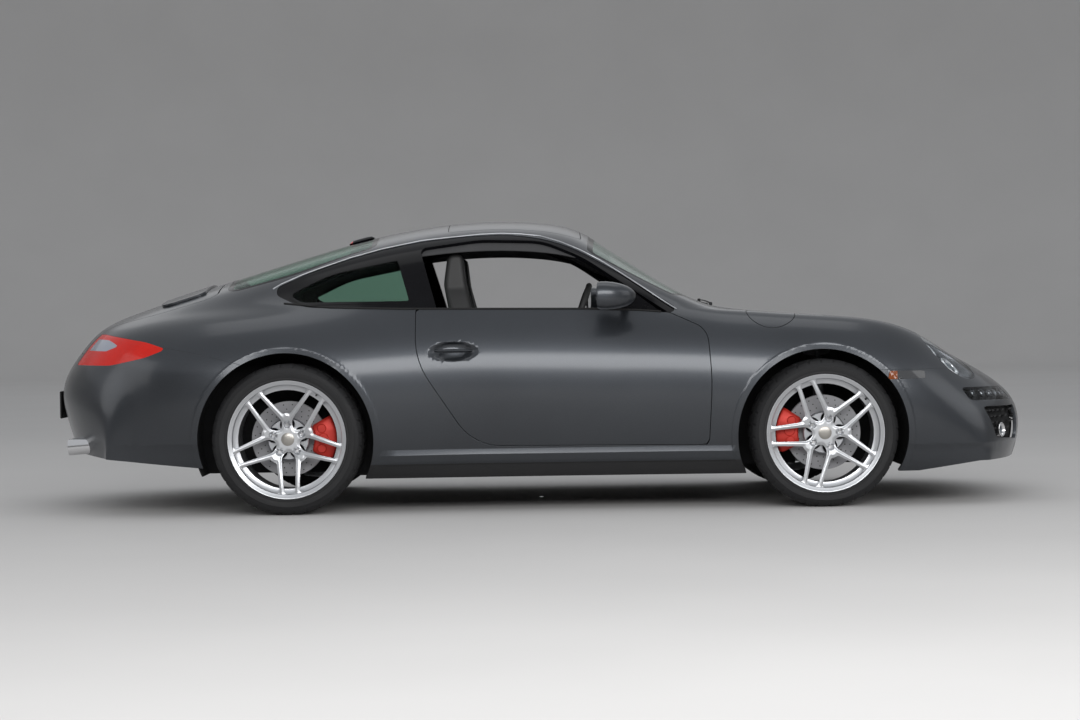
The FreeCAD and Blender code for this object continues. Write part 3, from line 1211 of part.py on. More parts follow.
for sign in (-1, 1):
    rounded_outline(shoulders, [(sign * y, z - REF_FLOOR, radius) for z, y, radius in SHOULDER])
pocket(seat, "seat_shoulder_cut", shoulders)
pair("front_seats", seat)

REAR_SEAT_SIDE = [(-880, 172, 4), (-580, 172, 30), (-560, 440, 50), (-600, 486, 40), (-770, 452, 50),
                  (-826, 560, 60), (-838, 850, 24), (-884, 850, 20)]
bench = doc.addObject("PartDesign::Body", "rear_seat_right")
stand_at(bench, 0, -335, REF_FLOOR)
bench_view = sketch_on(bench, "rear_seat_side", "XZ_Plane")
rounded_outline(bench_view, [(x, z - REF_FLOOR, radius) for x, z, radius in REAR_SEAT_SIDE])
pad = bench.newObject("PartDesign::Pad", "rear_seat_pad")
pad.Profile = bench_view
pad.Midplane = True
pad.Length = 410
pair("rear_seats", bench)

across = Rotation(Vector(0, 0, 1), COLUMN_AXIS)


def on_column(name, kind, local=Placement(), **sizes):
    """Object placed in the steering wheel's own frame, whose Z axis lies along the column."""
    item = doc.addObject(kind, name)
    for side, value in sizes.items():
        setattr(item, side, value)
    item.Placement = Placement(wheel_at, across).multiply(local)
    offset = item.Placement.Base - wheel_at
    for axis, text in zip("xyz", (text_x(WHEEL_DRAWN[0]), text_y(WHEEL_DRAWN[1]), text_z(WHEEL_DRAWN[2]))):
        item.setExpression("Placement.Base." + axis, "%s + %r" % (text, getattr(offset, axis)))
    return item


grip = on_column("steering_grip", "Part::Torus")
grip.setExpression("Radius1", "Sizes.SteeringWheelRadius")
grip.setExpression("Radius2", "Sizes.SteeringGripRadius")
wheel_parts = [grip, on_column("steering_boss", "Part::Cylinder", Placement(Vector(0, 0, -20), Rotation()),
                               Radius=52, Height=70),
               on_column("steering_shaft", "Part::Cylinder", Placement(Vector(0, 0, 40), Rotation()),
                         Radius=SHAFT, Height=380)]
for degrees in (-90, 0, 90):
    turn = Rotation(Vector(0, 0, 1), degrees)
    spoke = on_column("steering_spoke", "Part::Box", Placement(turn.multVec(Vector(0, -13, -8)), turn),
                      Width=26, Height=16)
    spoke.setExpression("Length", "Sizes.SteeringWheelRadius")
    wheel_parts.append(spoke)
united("steering_wheel", wheel_parts)

# Checks, then one file for each node
ROUND_NODES = ["%s_%s_%s" % (kind, name, label) for name in ("front", "rear") for label in ("right", "left")
               for kind in ("tyre", "rim", "brake_disc")]
MADE_NODES = ["engine_block", "exhaust", "plate_holder", "front_seats", "rear_seats", "steering_wheel"]
nodes = list(pieces) + ROUND_NODES + MADE_NODES
doc.recompute()
for item in doc.Objects:
    if "Invalid" in item.State or "Error" in item.State:
        raise RuntimeError("%s failed: %s" % (item.Name, item.State))
for name in nodes:
    shape = doc.getObject(name).Shape
    if shape.isNull() or not shape.isValid() or not shape.Solids:
        raise RuntimeError("%s has no valid solid" % name)
os.makedirs("parts", exist_ok=True)
for name in nodes:
    item = doc.getObject(name)
    item.Label = name
    item.Shape.exportStep("parts/%s.step" % name)
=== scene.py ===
"""Looks of a two-door coupe: painted skin, glass, lamps, wheels, cabin and trim.

Metres, +X forward, +Y the car's left, +Z up, the origin on the ground under the body's middle.
Tables hold drawing places, measured forward from the middle of the wheelbase; CENTRE carries
them to the frame.
"""
import logging
import math
from dataclasses import dataclass, field
from enum import Enum
from typing import Callable, Optional, Sequence

import bmesh
import bpy
import numpy as np
from mathutils import Matrix, Vector, geometry
from mathutils.bvhtree import BVHTree


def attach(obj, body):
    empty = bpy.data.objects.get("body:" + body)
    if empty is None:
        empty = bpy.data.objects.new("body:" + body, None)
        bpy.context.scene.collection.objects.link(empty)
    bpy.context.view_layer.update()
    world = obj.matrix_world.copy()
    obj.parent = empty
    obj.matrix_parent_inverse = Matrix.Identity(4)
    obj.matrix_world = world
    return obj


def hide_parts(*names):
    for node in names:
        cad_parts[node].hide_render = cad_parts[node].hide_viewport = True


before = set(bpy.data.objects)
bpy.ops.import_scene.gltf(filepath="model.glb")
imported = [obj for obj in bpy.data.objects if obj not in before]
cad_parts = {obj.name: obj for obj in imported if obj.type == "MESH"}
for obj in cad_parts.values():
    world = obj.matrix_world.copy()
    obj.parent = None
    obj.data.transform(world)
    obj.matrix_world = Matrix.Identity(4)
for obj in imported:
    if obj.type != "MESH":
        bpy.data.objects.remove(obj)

log = logging.getLogger("coupe")
Array = np.ndarray
Socket = bpy.types.NodeSocket
Tree = bpy.types.NodeTree

CENTRE = 0.0675
FRONT_AXLE = 1.175
REAR_AXLE = -1.175
FLOOR_HEIGHT = 0.130
SKIN_CELL = 0.018

# One row per cross section of the body, tail to nose. Columns: x on the centre plane, sweep (how
# far the sides lie towards the middle of the car), half width of the foot, then half width and
# height of low, widest, shoulder, crown, belt and roof edge, and the height of the centre.
SECTIONS = (
    (-2.14, 0.15, 0.69, 0.69, 0.13, 0.69, 0.13, 0.66, 0.13, 0.56, 0.13, 0.43, 0.13, 0.29, 0.13,
     0.13),
    (-2.215, 0.215, 0.72, 0.725, 0.16, 0.725, 0.19, 0.7, 0.225, 0.59, 0.255, 0.45, 0.265, 0.3,
     0.268, 0.27),
    (-2.268, 0.265, 0.745, 0.755, 0.19, 0.765, 0.27, 0.745, 0.35, 0.62, 0.4, 0.47, 0.415, 0.31,
     0.418, 0.42),
    (-2.298, 0.29, 0.765, 0.78, 0.2, 0.795, 0.36, 0.775, 0.49, 0.64, 0.55, 0.49, 0.568, 0.33,
     0.573, 0.575),
    (-2.185, 0.29, 0.775, 0.795, 0.22, 0.815, 0.44, 0.8, 0.61, 0.67, 0.695, 0.52, 0.72, 0.36, 0.73,
     0.735),
    (-2.085, 0.23, 0.785, 0.815, 0.23, 0.835, 0.49, 0.815, 0.67, 0.69, 0.785, 0.54, 0.815, 0.38,
     0.835, 0.852),
    (-1.83, 0.09, 0.79, 0.85, 0.24, 0.878, 0.52, 0.858, 0.7, 0.72, 0.832, 0.57, 0.872, 0.41, 0.906,
     0.936),
    (-1.5, 0, 0.79, 0.875, 0.23, 0.918, 0.51, 0.895, 0.705, 0.755, 0.862, 0.625, 0.892, 0.465,
     0.986, 1.046),
    (-1.175, 0, 0.785, 0.875, 0.22, 0.922, 0.5, 0.898, 0.705, 0.765, 0.872, 0.655, 0.912, 0.545,
     1.063, 1.146),
    (-0.82, 0, 0.78, 0.85, 0.22, 0.893, 0.49, 0.88, 0.71, 0.765, 0.88, 0.69, 0.96, 0.59, 1.153,
     1.252),
    (-0.42, 0, 0.77, 0.812, 0.23, 0.86, 0.48, 0.853, 0.715, 0.755, 0.878, 0.69, 1.01, 0.59, 1.208,
     1.314),
    (-0.1, 0, 0.765, 0.81, 0.23, 0.858, 0.475, 0.848, 0.712, 0.752, 0.872, 0.69, 1.005, 0.58,
     1.212, 1.309),
    (0.11, 0, 0.765, 0.812, 0.23, 0.86, 0.475, 0.848, 0.712, 0.75, 0.868, 0.7, 0.97, 0.6, 1.162,
     1.283),
    (0.24, 0, 0.767, 0.815, 0.23, 0.862, 0.475, 0.848, 0.712, 0.748, 0.866, 0.702, 0.945, 0.62,
     1.09, 1.19),
    (0.46, 0, 0.77, 0.818, 0.23, 0.865, 0.48, 0.85, 0.712, 0.745, 0.862, 0.702, 0.9, 0.645, 0.985,
     1.043),
    (0.66, 0, 0.775, 0.828, 0.23, 0.87, 0.48, 0.853, 0.71, 0.742, 0.857, 0.69, 0.88, 0.59, 0.903,
     0.913),
    (0.74, 0, 0.778, 0.834, 0.228, 0.875, 0.48, 0.857, 0.708, 0.74, 0.859, 0.665, 0.874, 0.54,
     0.882, 0.888),
    (0.88, 0, 0.78, 0.842, 0.225, 0.882, 0.48, 0.862, 0.703, 0.74, 0.858, 0.64, 0.868, 0.49, 0.867,
     0.869),
    (1.175, 0, 0.785, 0.85, 0.215, 0.892, 0.48, 0.868, 0.69, 0.735, 0.856, 0.6, 0.836, 0.43, 0.822,
     0.824),
    (1.48, 0.03, 0.78, 0.845, 0.21, 0.885, 0.46, 0.862, 0.66, 0.715, 0.848, 0.575, 0.796, 0.4,
     0.762, 0.762),
    (1.7, 0.08, 0.775, 0.83, 0.2, 0.862, 0.42, 0.838, 0.6, 0.68, 0.764, 0.54, 0.724, 0.38, 0.7,
     0.702),
    (1.89, 0.13, 0.765, 0.805, 0.19, 0.83, 0.37, 0.8, 0.5, 0.64, 0.606, 0.5, 0.614, 0.35, 0.622,
     0.626),
    (2.07, 0.2, 0.755, 0.78, 0.18, 0.795, 0.31, 0.765, 0.42, 0.62, 0.49, 0.48, 0.508, 0.33, 0.516,
     0.518),
    (2.164, 0.25, 0.745, 0.758, 0.165, 0.765, 0.24, 0.735, 0.32, 0.61, 0.385, 0.47, 0.4, 0.32,
     0.405, 0.408),
    (2.15, 0.215, 0.73, 0.735, 0.15, 0.738, 0.18, 0.71, 0.215, 0.59, 0.24, 0.45, 0.248, 0.31, 0.25,
     0.25),
    (2.085, 0.16, 0.7, 0.7, 0.13, 0.7, 0.13, 0.67, 0.13, 0.57, 0.13, 0.44, 0.13, 0.3, 0.13, 0.13),
)


class Side(Enum):
    """The two sides of the car, by the sign of y."""

    RIGHT = -1
    LEFT = 1

    @property
    def label(self) -> str:
        """Name as used in the nodes."""
        return self.name.lower()


# Outlines


@dataclass(frozen=True)
class Outline:
    """Closed outline with rounded corners, in a side view (x, z) or a top view (x, y).

    Args:
        points: corners as (across, up, corner radius), in drawing places.
    """

    points: tuple

    def line(self) -> Array:
        """Points along the outline in the frame's places.

        Returns:
            An array of (across, up), not closed on itself.
        """
        corners = np.array([p[:2] for p in self.points], float) + (CENTRE, 0)
        found = []
        for i, radius in enumerate(p[2] for p in self.points):
            here = corners[i]
            back, ahead = corners[i - 1] - here, corners[(i + 1) % len(corners)] - here
            room = min(np.linalg.norm(back), np.linalg.norm(ahead))
            back, ahead = back / np.linalg.norm(back), ahead / np.linalg.norm(ahead)
            half_turn = (math.pi - math.acos(np.clip(back @ ahead, -1, 1))) / 2
            reach = min(radius * math.tan(half_turn), 0.49 * room)
            if reach < 0.0005:
                found.append(here)
                continue
            bend = reach / math.tan(half_turn)
            middle = (back + ahead) / np.linalg.norm(back + ahead)
            centre = here + middle * (bend / math.cos(half_turn))
            start = here + back * reach - centre
            turn = back[0] * ahead[1] - back[1] * ahead[0]
            steps = max(2, int(math.degrees(2 * half_turn) / 3))
            for k in range(steps + 1):
                a = -math.copysign(2 * half_turn, turn) * k / steps
                c, s = math.cos(a), math.sin(a)
                found.append(centre + (c * start[0] - s * start[1], s * start[0] + c * start[1]))
        return np.array(found)

    def depth(self, across: Array, up: Array, grow: float = 0.0) -> Array:
        """Signed distance inside the outline grown by grow; negative outside.

        Args:
            across: first coordinate of each point.
            up: second coordinate of each point.
            grow: how far the outline is moved outwards.
        Returns:
            One distance per point, cut off at a short way outside.
        """
        line = self.line()
        margin = 0.06 + abs(grow)
        low, high = line.min(0) - margin, line.max(0) + margin
        result = np.full(len(across), -margin)
        near = np.where((across > low[0]) & (across < high[0]) & (up > low[1]) & (up < high[1]))[0]
        points = np.stack([across[near], up[near]], 1)
        best = np.full(len(near), 1e9)
        inside = np.zeros(len(near), bool)
        for start, end in zip(line, np.roll(line, -1, 0)):
            along = end - start
            share = np.clip((points - start) @ along / (along @ along), 0, 1)
            off = points - start - share[:, None] * along
            best = np.minimum(best, np.linalg.norm(off, axis=1))
            crosses = (start[1] > points[:, 1]) != (end[1] > points[:, 1])
            if crosses.any():
                where = start[0] + (points[:, 1] - start[1]) * along[0] / (along[1] or 1e-12)
                inside ^= crosses & (points[:, 0] < where)
        result[near] = np.maximum(np.where(inside, best, -best) + grow, -margin)
        return result


def symmetric(points: Sequence[tuple]) -> tuple:
    """Top-view outline made whole from the points of its right half, front to back."""
    return tuple(points) + tuple((x, -y, r) for x, y, r in reversed(points) if y)


# Side views: x, z, corner radius
DOOR = Outline(((-.612, .893, .012), (-.612, .663, .350), (-.363, .288, .230), (.668, .280, .014),
                (.682, .560, .900), (.668, .787, .090), (.505, .862, .060), (.200, .884, .900)))
DOOR_WINDOW = Outline(((-.512, .860, 0), (-.601, 1.168, .025), (-.330, 1.204, .500),
                       (-.050, 1.196, .300), (.130, 1.118, .500), (.500, .866, .010),
                       (.490, .850, 0)))
QUARTER_WINDOW = Outline(((-.628, .918, .014), (-.690, 1.122, .014), (-1.000, 1.062, .500),
                          (-1.205, .962, .060), (-1.120, .918, .090)))
WINDOW_BAND = Outline(((-1.285, .982, .030), (-1.044, 1.088, .900), (-.774, 1.168, 1.2),
                       (-.500, 1.214, 1.2), (-.237, 1.232, .900), (.030, 1.192, .900),
                       (.296, 1.044, 3.0), (.580, .856, .020), (.440, .866, .300),
                       (-.200, .890, 3.0), (-.800, .894, 3.0), (-1.120, .906, .300)))
TAIL_LAMP = Outline(((-1.700, .732, .008), (-1.800, .764, .300), (-2.020, .800, .100),
                     (-2.400, .800, 0), (-2.400, .664, 0), (-1.970, .660, .300),
                     (-1.800, .694, .300)))
FRONT_BUMPER = Outline(((1.350, .597, 0), (2.400, .597, 0), (2.400, .060, 0), (1.350, .060, 0)))
REAR_BUMPER = Outline(((-1.300, .640, 0), (-1.546, .705, .300), (-1.706, .736, 0),
                       (-2.400, .736, 0), (-2.400, .060, 0), (-1.300, .060, 0)))
FRONT_UNDERCUT = Outline(((1.440, .128, 0), (1.867, .190, .200), (2.400, .190, 0),
                          (2.400, .040, 0), (1.440, .040, 0)))
REAR_UNDERCUT = Outline(((-1.393, .192, 0), (-2.400, .292, 0), (-2.400, .040, 0),
                         (-1.393, .040, 0)))

# Top views: x, y, corner radius
WINDSCREEN = Outline(symmetric([(.716, 0, 0), (.690, -.330, .500), (.540, -.632, .040),
                                (.150, -.535, .045), (.176, 0, 0)]))
REAR_WINDOW = Outline(symmetric([(-.800, 0, 0), (-.800, -.455, .060), (-1.150, -.515, .600),
                                 (-1.480, -.480, .080), (-1.490, 0, 0)]))
FRONT_LID = Outline(symmetric([(1.950, 0, 0), (1.930, -.290, .300), (1.800, -.430, .200),
                               (1.250, -.545, .600), (.722, -.600, .040), (.745, -.430, .200),
                               (.815, 0, 0)]))
COWL = Outline(symmetric([(.900, 0, 0), (.900, -.618, 0), (.500, -.618, 0), (.400, 0, 0)]))
ENGINE_LID = Outline(symmetric([(-1.520, 0, 0), (-1.520, -.470, .060), (-1.850, -.505, .500),
                                (-2.010, -.430, .130), (-2.500, -.400, 0), (-2.500, 0, 0)]))
SUNROOF = Outline(((-.476, -.400, .030), (.128, -.400, .030), (.128, .400, .030),
                   (-.476, .400, .030)))
LAMP_BAR = Outline(((.440, .446, .012), (.752, .452, .014), (.744, .512, .018),
                    (.452, .508, .016)))
MARKER = Outline(((1.449, .553, .006), (1.624, .556, .006), (1.618, .592, .010),
                  (1.456, .592, .010)))
CORNER_INTAKE = Outline(((.454, .268, .014), (.700, .284, .024), (.722, .426, .016),
                         (.446, .424, .014)))
CENTRE_INTAKE = Outline(((-.368, .230, .016), (.368, .230, .016), (.380, .352, .020),
                         (-.380, .352, .020)))
LID_FOOT = 0.712
SILL_TOP = 0.274
SEAM_ROOF = 0.520
FENDER_REAR = 0.545
LAMP_INNER = 0.440
PANEL_GAP = 0.0048
COWL_GAP = 0.013
BUMPER_GAP = 0.0022
SLOT_SPANS = ((-0.330, -0.024), (0.024, 0.330))
SLOT_WIDTH = 0.008


@dataclass(frozen=True)
class Corner:
    """One wheel's place and sizes: axle, tyre, arch and the wheel's face."""

    axle: float
    middle: float
    tyre: float
    width: float
    arch: float
    face: float
    twist: float
    caliper_side: int

    @property
    def arch_centre(self) -> tuple:
        """Middle of the wheel arch in the side view, in the frame's places."""
        return self.axle + CENTRE + ARCH_SHIFT[0], self.tyre + ARCH_SHIFT[1]


FRONT = Corner(FRONT_AXLE, .7435, .3235, .235, .375, -.057, 3.0, -1)
REAR = Corner(REAR_AXLE, .745, .330, .290, .384, -.067, 20.0, 1)
ARCH_SHIFT = (-0.008, -0.006)


# Meshes


def smooth_step(value: Array, low: float, high: float) -> Array:
    """Smooth ramp from 0 at low to 1 at high."""
    share = np.clip((value - low) / (high - low), 0, 1)
    return share * share * (3 - 2 * share)


def vertex_normals(points: Array, triangles: Array) -> Array:
    """Area-weighted normals of a triangle mesh."""
    a, b, c = (points[triangles[:, k]] for k in range(3))
    face = np.cross(b - a, c - a)
    total = np.zeros_like(points)
    for k in range(3):
        np.add.at(total, triangles[:, k], face)
    return total / np.maximum(np.linalg.norm(total, axis=1, keepdims=True), 1e-12)


def split_cells(a: Array, b: Array, c: Array, d: Array) -> Array:
    """Two triangles for each four-cornered cell."""
    return np.concatenate([np.stack([a, b, c], 1), np.stack([a, c, d], 1)])


@dataclass
class Sheet:
    """Triangle sheet that can be scored, split and turned into a thin shell.

    Args:
        points: corner places.
        normals: outward normals.
        triangles: corner indices.
    """

    points: Array
    normals: Array
    triangles: Array

    def score(self, depth: Callable[["Sheet"], Array]) -> tuple:
        """Cuts edges where depth crosses zero.

        Args:
            depth: signed value for each corner of a sheet.
        Returns:
            The scored sheet and, for each of its triangles, whether it lies on the positive side.
        """
        value = depth(self)
        value = np.where(np.abs(value) < 2e-5, 2e-5, value)
        side = value > 0
        flags = side[self.triangles]
        count = flags.sum(1)
        whole = (count == 0) | (count == 3)
        kept, kept_side = self.triangles[whole], count[whole] == 3
        mixed, mixed_flags = self.triangles[~whole], flags[~whole]
        if not len(mixed):
            return Sheet(self.points, self.normals, kept), kept_side
        lone_positive = mixed_flags.sum(1) == 1
        lone = np.where(lone_positive[:, None], mixed_flags, ~mixed_flags).argmax(1)
        rows = np.arange(len(mixed))
        a, b, c = (mixed[rows, (lone + k) % 3] for k in range(3))
        ends = np.concatenate([np.stack([a, b], 1), np.stack([a, c], 1)])
        ends = np.sort(ends, 1)
        edges, place = np.unique(ends, axis=0, return_inverse=True)
        place = place.reshape(-1)
        first, last = edges[:, 0], edges[:, 1]
        share = (value[first] / (value[first] - value[last]))[:, None]
        points = self.points[first] * (1 - share) + self.points[last] * share
        normals = self.normals[first] * (1 - share) + self.normals[last] * share
        normals /= np.linalg.norm(normals, axis=1, keepdims=True)
        base = len(self.points)
        p, q = base + place[:len(mixed)], base + place[len(mixed):]
        tips = np.stack([a, p, q], 1)
        rests = np.concatenate([np.stack([p, b, c], 1), np.stack([p, c, q], 1)])
        triangles = np.concatenate([kept, tips, rests])
        sides = np.concatenate([kept_side, lone_positive, ~lone_positive, ~lone_positive])
        return Sheet(np.concatenate([self.points, points]),
                     np.concatenate([self.normals, normals]), triangles), sides

    def part(self, chosen: Array) -> "Sheet":
        """The chosen triangles with only the corners that they use."""
        triangles = self.triangles[chosen]
        used, place = np.unique(triangles, return_inverse=True)
        return Sheet(self.points[used], self.normals[used], place.reshape(-1, 3))

    def split(self, depth: Callable[["Sheet"], Array]) -> tuple:
        """Inside and outside parts of the sheet."""
        scored, side = self.score(depth)
        return scored.part(side), scored.part(~side)

    def rim(self) -> Array:
        """Directed edges with a triangle on one side only."""
        edges = np.concatenate([self.triangles[:, [0, 1]], self.triangles[:, [1, 2]],
                                self.triangles[:, [2, 0]]])
        size = len(self.points)
        code, back = edges[:, 0] * size + edges[:, 1], edges[:, 1] * size + edges[:, 0]
        return edges[~np.isin(code, back)]

    def moved(self, points: Array) -> "Sheet":
        """The same sheet on new places, its normals worked out again where it moved."""
        fresh = vertex_normals(points, self.triangles)
        changed = np.linalg.norm(points - self.points, axis=1) > 1e-6
        around = np.zeros(len(points), bool)
        around[self.triangles[changed[self.triangles].any(1)].ravel()] = True
        return Sheet(points, np.where(around[:, None], fresh, self.normals), self.triangles)

    def joined(self, other: "Sheet") -> "Sheet":
        """Both sheets as one."""
        return Sheet(np.concatenate([self.points, other.points]),
                     np.concatenate([self.normals, other.normals]),
                     np.concatenate([self.triangles, other.triangles + len(self.points)]))


def shell(sheet: Sheet, depth: float, roll: float = 0.0014) -> Sheet:
    """A thin solid under a sheet, with its edges rolled over.

    Args:
        sheet: outer face.
        depth: thickness.
        roll: radius of the rolled edge.
    Returns:
        The shell as one sheet.
    """
    rim = sheet.rim()
    size = len(sheet.points)
    out = np.zeros_like(sheet.points)
    step = sheet.points[rim[:, 1]] - sheet.points[rim[:, 0]]
    length = np.linalg.norm(step, axis=1, keepdims=True)
    side = np.cross(step, sheet.normals[rim[:, 0]]) / np.maximum(length, 1e-9)
    for k in range(2):
        np.add.at(out, rim[:, k], side)
    edge = np.unique(rim)
    normal = sheet.normals[edge]
    outwards = out[edge]
    outwards -= normal * (outwards * normal).sum(1, keepdims=True)
    outwards /= np.maximum(np.linalg.norm(outwards, axis=1, keepdims=True), 1e-9)
    place = np.full(size, -1)
    place[edge] = np.arange(len(edge))
    points, normals, triangles = [sheet.points], [sheet.normals], [sheet.triangles]
    previous, total = edge, size
    rings = [(math.sin(a) * roll, (1 - math.cos(a)) * roll, math.cos(a), math.sin(a))
             for a in (math.radians(30), math.radians(60), math.radians(90))]
    rings += [(roll, roll, 0.0, 1.0), (roll, depth, 0.0, 1.0)]
    for index, (along, down, straight, sideways) in enumerate(rings):
        ring = sheet.points[edge] + outwards * along - normal * down
        points.append(ring)
        normals.append(normal * straight + outwards * sideways)
        fresh = np.arange(total, total + len(edge))
        if index != 3:
            a, b = previous[place[rim[:, 0]]], previous[place[rim[:, 1]]]
            c, d = fresh[place[rim[:, 0]]], fresh[place[rim[:, 1]]]
            triangles += [np.stack([b, a, c], 1), np.stack([b, c, d], 1)]
        previous, total = fresh, total + len(edge)
    inner = sheet.points - sheet.normals * depth
    inner[edge] = points[-1]
    points.append(inner)
    normals.append(-sheet.normals)
    triangles.append(sheet.triangles[:, ::-1] + total)
    return Sheet(np.concatenate(points), np.concatenate(normals), np.concatenate(triangles))


def outwards(mesh: bpy.types.Mesh) -> None:
    """Turns all faces of a mesh outwards."""
    work = bmesh.new()
    work.from_mesh(mesh)
    bmesh.ops.recalc_face_normals(work, faces=work.faces)
    work.to_mesh(mesh)
    work.free()


def make_piece(name: str, points: Sequence, faces: Sequence, finish: Sequence, body: str,
               replaces: Sequence = (), normals: Optional[Array] = None,
               sharp: float = 35.0, marks: Optional[Array] = None) -> bpy.types.Object:
    """Makes one mesh piece, dresses it and hangs it on its body.

    Args:
        name: name of the piece.
        points: corner places in the frame.
        faces: corner indices of each face.
        finish: finishes, in slot order.
        body: body of the frame that it rides on.
        replaces: nodes that it stands for.
        normals: outward normal for each corner, or none for smooth shading with sharp edges.
        sharp: angle in degrees over which an edge shows.
        marks: material number of each face.
    Returns:
        The object.
    """
    mesh = bpy.data.meshes.new(name)
    mesh.from_pydata(np.asarray(points).tolist(), [], [list(map(int, f)) for f in faces])
    mesh.update()
    for entry in finish:
        mesh.materials.append(entry.material())
    if marks is not None:
        mesh.polygons.foreach_set("material_index", np.asarray(marks, np.int32))
    mesh.shade_smooth()
    if normals is None:
        outwards(mesh)
        mesh.set_sharp_from_angle(angle=math.radians(sharp))
    else:
        mesh.normals_split_custom_set_from_vertices(np.asarray(normals).tolist())
    piece = bpy.data.objects.new(name, mesh)
    bpy.context.scene.collection.objects.link(piece)
    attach(piece, body)
    if replaces:
        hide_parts(*replaces)
    log.info("%s: %d faces on %s", name, len(mesh.polygons), body)
    return piece


def turns(count: int) -> list:
    """Even angles of a full turn."""
    return [2 * math.pi * k / count for k in range(count)]


def drawn_in(share: float) -> float:
    """How far a quarter round draws in, from 0 to 1, at a share of its width."""
    return 1 - math.sqrt(max(0.0, 1 - max(0.0, share) ** 2))


# Radius of a lathe's point on its axis
TIP = 0.0001


@dataclass
class Mould:
    """Collects faces of one piece, each with its own finish number."""

    points: list = field(default_factory=list)
    faces: list = field(default_factory=list)
    marks: list = field(default_factory=list)
    mark: int = 0

    def on(self, mark: int) -> "Mould":
        """The mould itself, with the finish number set for the faces that follow."""
        self.mark = mark
        return self

    def add(self, points: Sequence, faces: Sequence) -> None:
        """Adds a patch of faces."""
        base = len(self.points)
        self.points += [tuple(map(float, p)) for p in points]
        self.faces += [[base + int(i) for i in f] for f in faces]
        self.marks += [self.mark] * len(faces)

    def rings(self, rings: Sequence, closed: bool = True, caps: bool = True,
              loop: bool = False) -> None:
        """Joins cross sections of equal point counts.

        Args:
            rings: cross sections as lists of points.
            closed: whether each section is a closed ring.
            caps: whether the ends are closed.
            loop: whether the last section joins the first.
        """
        count = len(rings[0])
        points = [p for ring in rings for p in ring]
        faces = []
        around = count if closed else count - 1
        for i in range(len(rings) - (0 if loop else 1)):
            for k in range(around):
                a, b = i * count + k, i * count + (k + 1) % count
                j = (i + 1) % len(rings)
                faces.append((a, b, j * count + (k + 1) % count, j * count + k))
        if caps and not loop and closed:
            faces.append(tuple(reversed(range(count))))
            faces.append(tuple((len(rings) - 1) * count + k for k in range(count)))
        self.add(points, faces)

    def lathe(self, profile: Sequence, centre: Sequence = (0, 0, 0), axis: Sequence = (0, 1, 0),
              steps: int = 48) -> None:
        """Turns a closed profile of (radius, along) about an axis through centre."""
        axis = Vector(axis).normalized()
        side = axis.orthogonal().normalized() if abs(axis.y) < .99 else Vector((1, 0, 0))
        other = axis.cross(side)
        middle = Vector(centre)
        rings = []
        for a in turns(steps):
            out = side * math.cos(a) + other * math.sin(a)
            rings.append([tuple(middle + out * r + axis * t) for r, t in profile])
        self.rings(rings, caps=False, loop=True)

    def tube(self, path: Sequence, radius: float | Sequence, steps: int = 12, loop: bool = False,
             flat: float = 1.0) -> None:
        """Round or oval bar along a path.

        Args:
            path: centre points.
            radius: one radius or one per point.
            steps: corners of the section.
            loop: whether the path closes on itself.
            flat: height of the section as a share of its width.
        """
        path = [Vector(p) for p in path]
        radii = [radius] * len(path) if isinstance(radius, (int, float)) else radius
        rings = []
        up = None
        for i, here in enumerate(path):
            ahead = path[(i + 1) % len(path)] if loop or i + 1 < len(path) else here
            back = path[i - 1] if loop or i else here
            along = (ahead - back).normalized()
            if up is None:
                up = Vector((0, 0, 1)) if abs(along.z) < .9 else Vector((1, 0, 0))
            side = along.cross(up).normalized()
            up = side.cross(along).normalized()
            rings.append([tuple(here + side * (radii[i] * math.cos(a))
                                + up * (radii[i] * flat * math.sin(a))) for a in turns(steps)])
        self.rings(rings, loop=loop)

    def block(self, low: Sequence, high: Sequence, soft: float = 0.004, steps: int = 3) -> None:
        """Block with rounded edges between two corners."""
        low, high = np.minimum(low, high), np.maximum(low, high)
        soft = min(soft, 0.49 * float((high - low).min()))
        outline = []
        for cx, cy, first in ((1, 1, 0), (-1, 1, 90), (-1, -1, 180), (1, -1, 270)):
            for k in range(steps + 1):
                a = math.radians(first + 90 * k / steps)
                outline.append((cx, cy, math.cos(a), math.sin(a)))
        rings = []
        for cz, angles in ((-1, range(-90, 1, 30)), (1, range(0, 91, 30))):
            for b in angles:
                c, s = math.cos(math.radians(b)), math.sin(math.radians(b))
                middle = (low + high) / 2
                half = (high - low) / 2 - soft
                rings.append([(middle[0] + cx * half[0] + soft * c * a[0],
                               middle[1] + cy * half[1] + soft * c * a[1],
                               middle[2] + cz * half[2] + soft * s)
                              for cx, cy, *a in outline])
        self.rings(rings)

    def turned(self, matrix: Matrix, since: int = 0) -> None:
        """Carries the points added from number since through a matrix."""
        self.points[since:] = [tuple(matrix @ Vector(p)) for p in self.points[since:]]

    def twin(self) -> None:
        """Adds the same faces on the car's other side."""
        base, faces, marks = len(self.points), list(self.faces), list(self.marks)
        self.points += [(x, -y, z) for x, y, z in self.points]
        self.faces += [[base + i for i in reversed(f)] for f in faces]
        self.marks += marks

    def piece(self, name: str, finish: Sequence, body: str, slot: str, replaces: Sequence = (),
              sharp: float = 35.0) -> bpy.types.Object:
        """Makes the collected faces one piece."""
        return make_piece(name, self.points, self.faces, finish, body, replaces, sharp=sharp,
                          marks=np.array(self.marks))


def sheet_piece(name: str, sheet: Sheet, finish: Sequence, body: str,
                replaces: Sequence = (), marks: Optional[Array] = None) -> bpy.types.Object:
    """Makes a sheet one piece with its own normals."""
    return make_piece(name, sheet.points, sheet.triangles, finish, body, replaces,
                      normals=sheet.normals, marks=marks)


# Finishes


NOISE_RANGE = (0.3, 0.7)


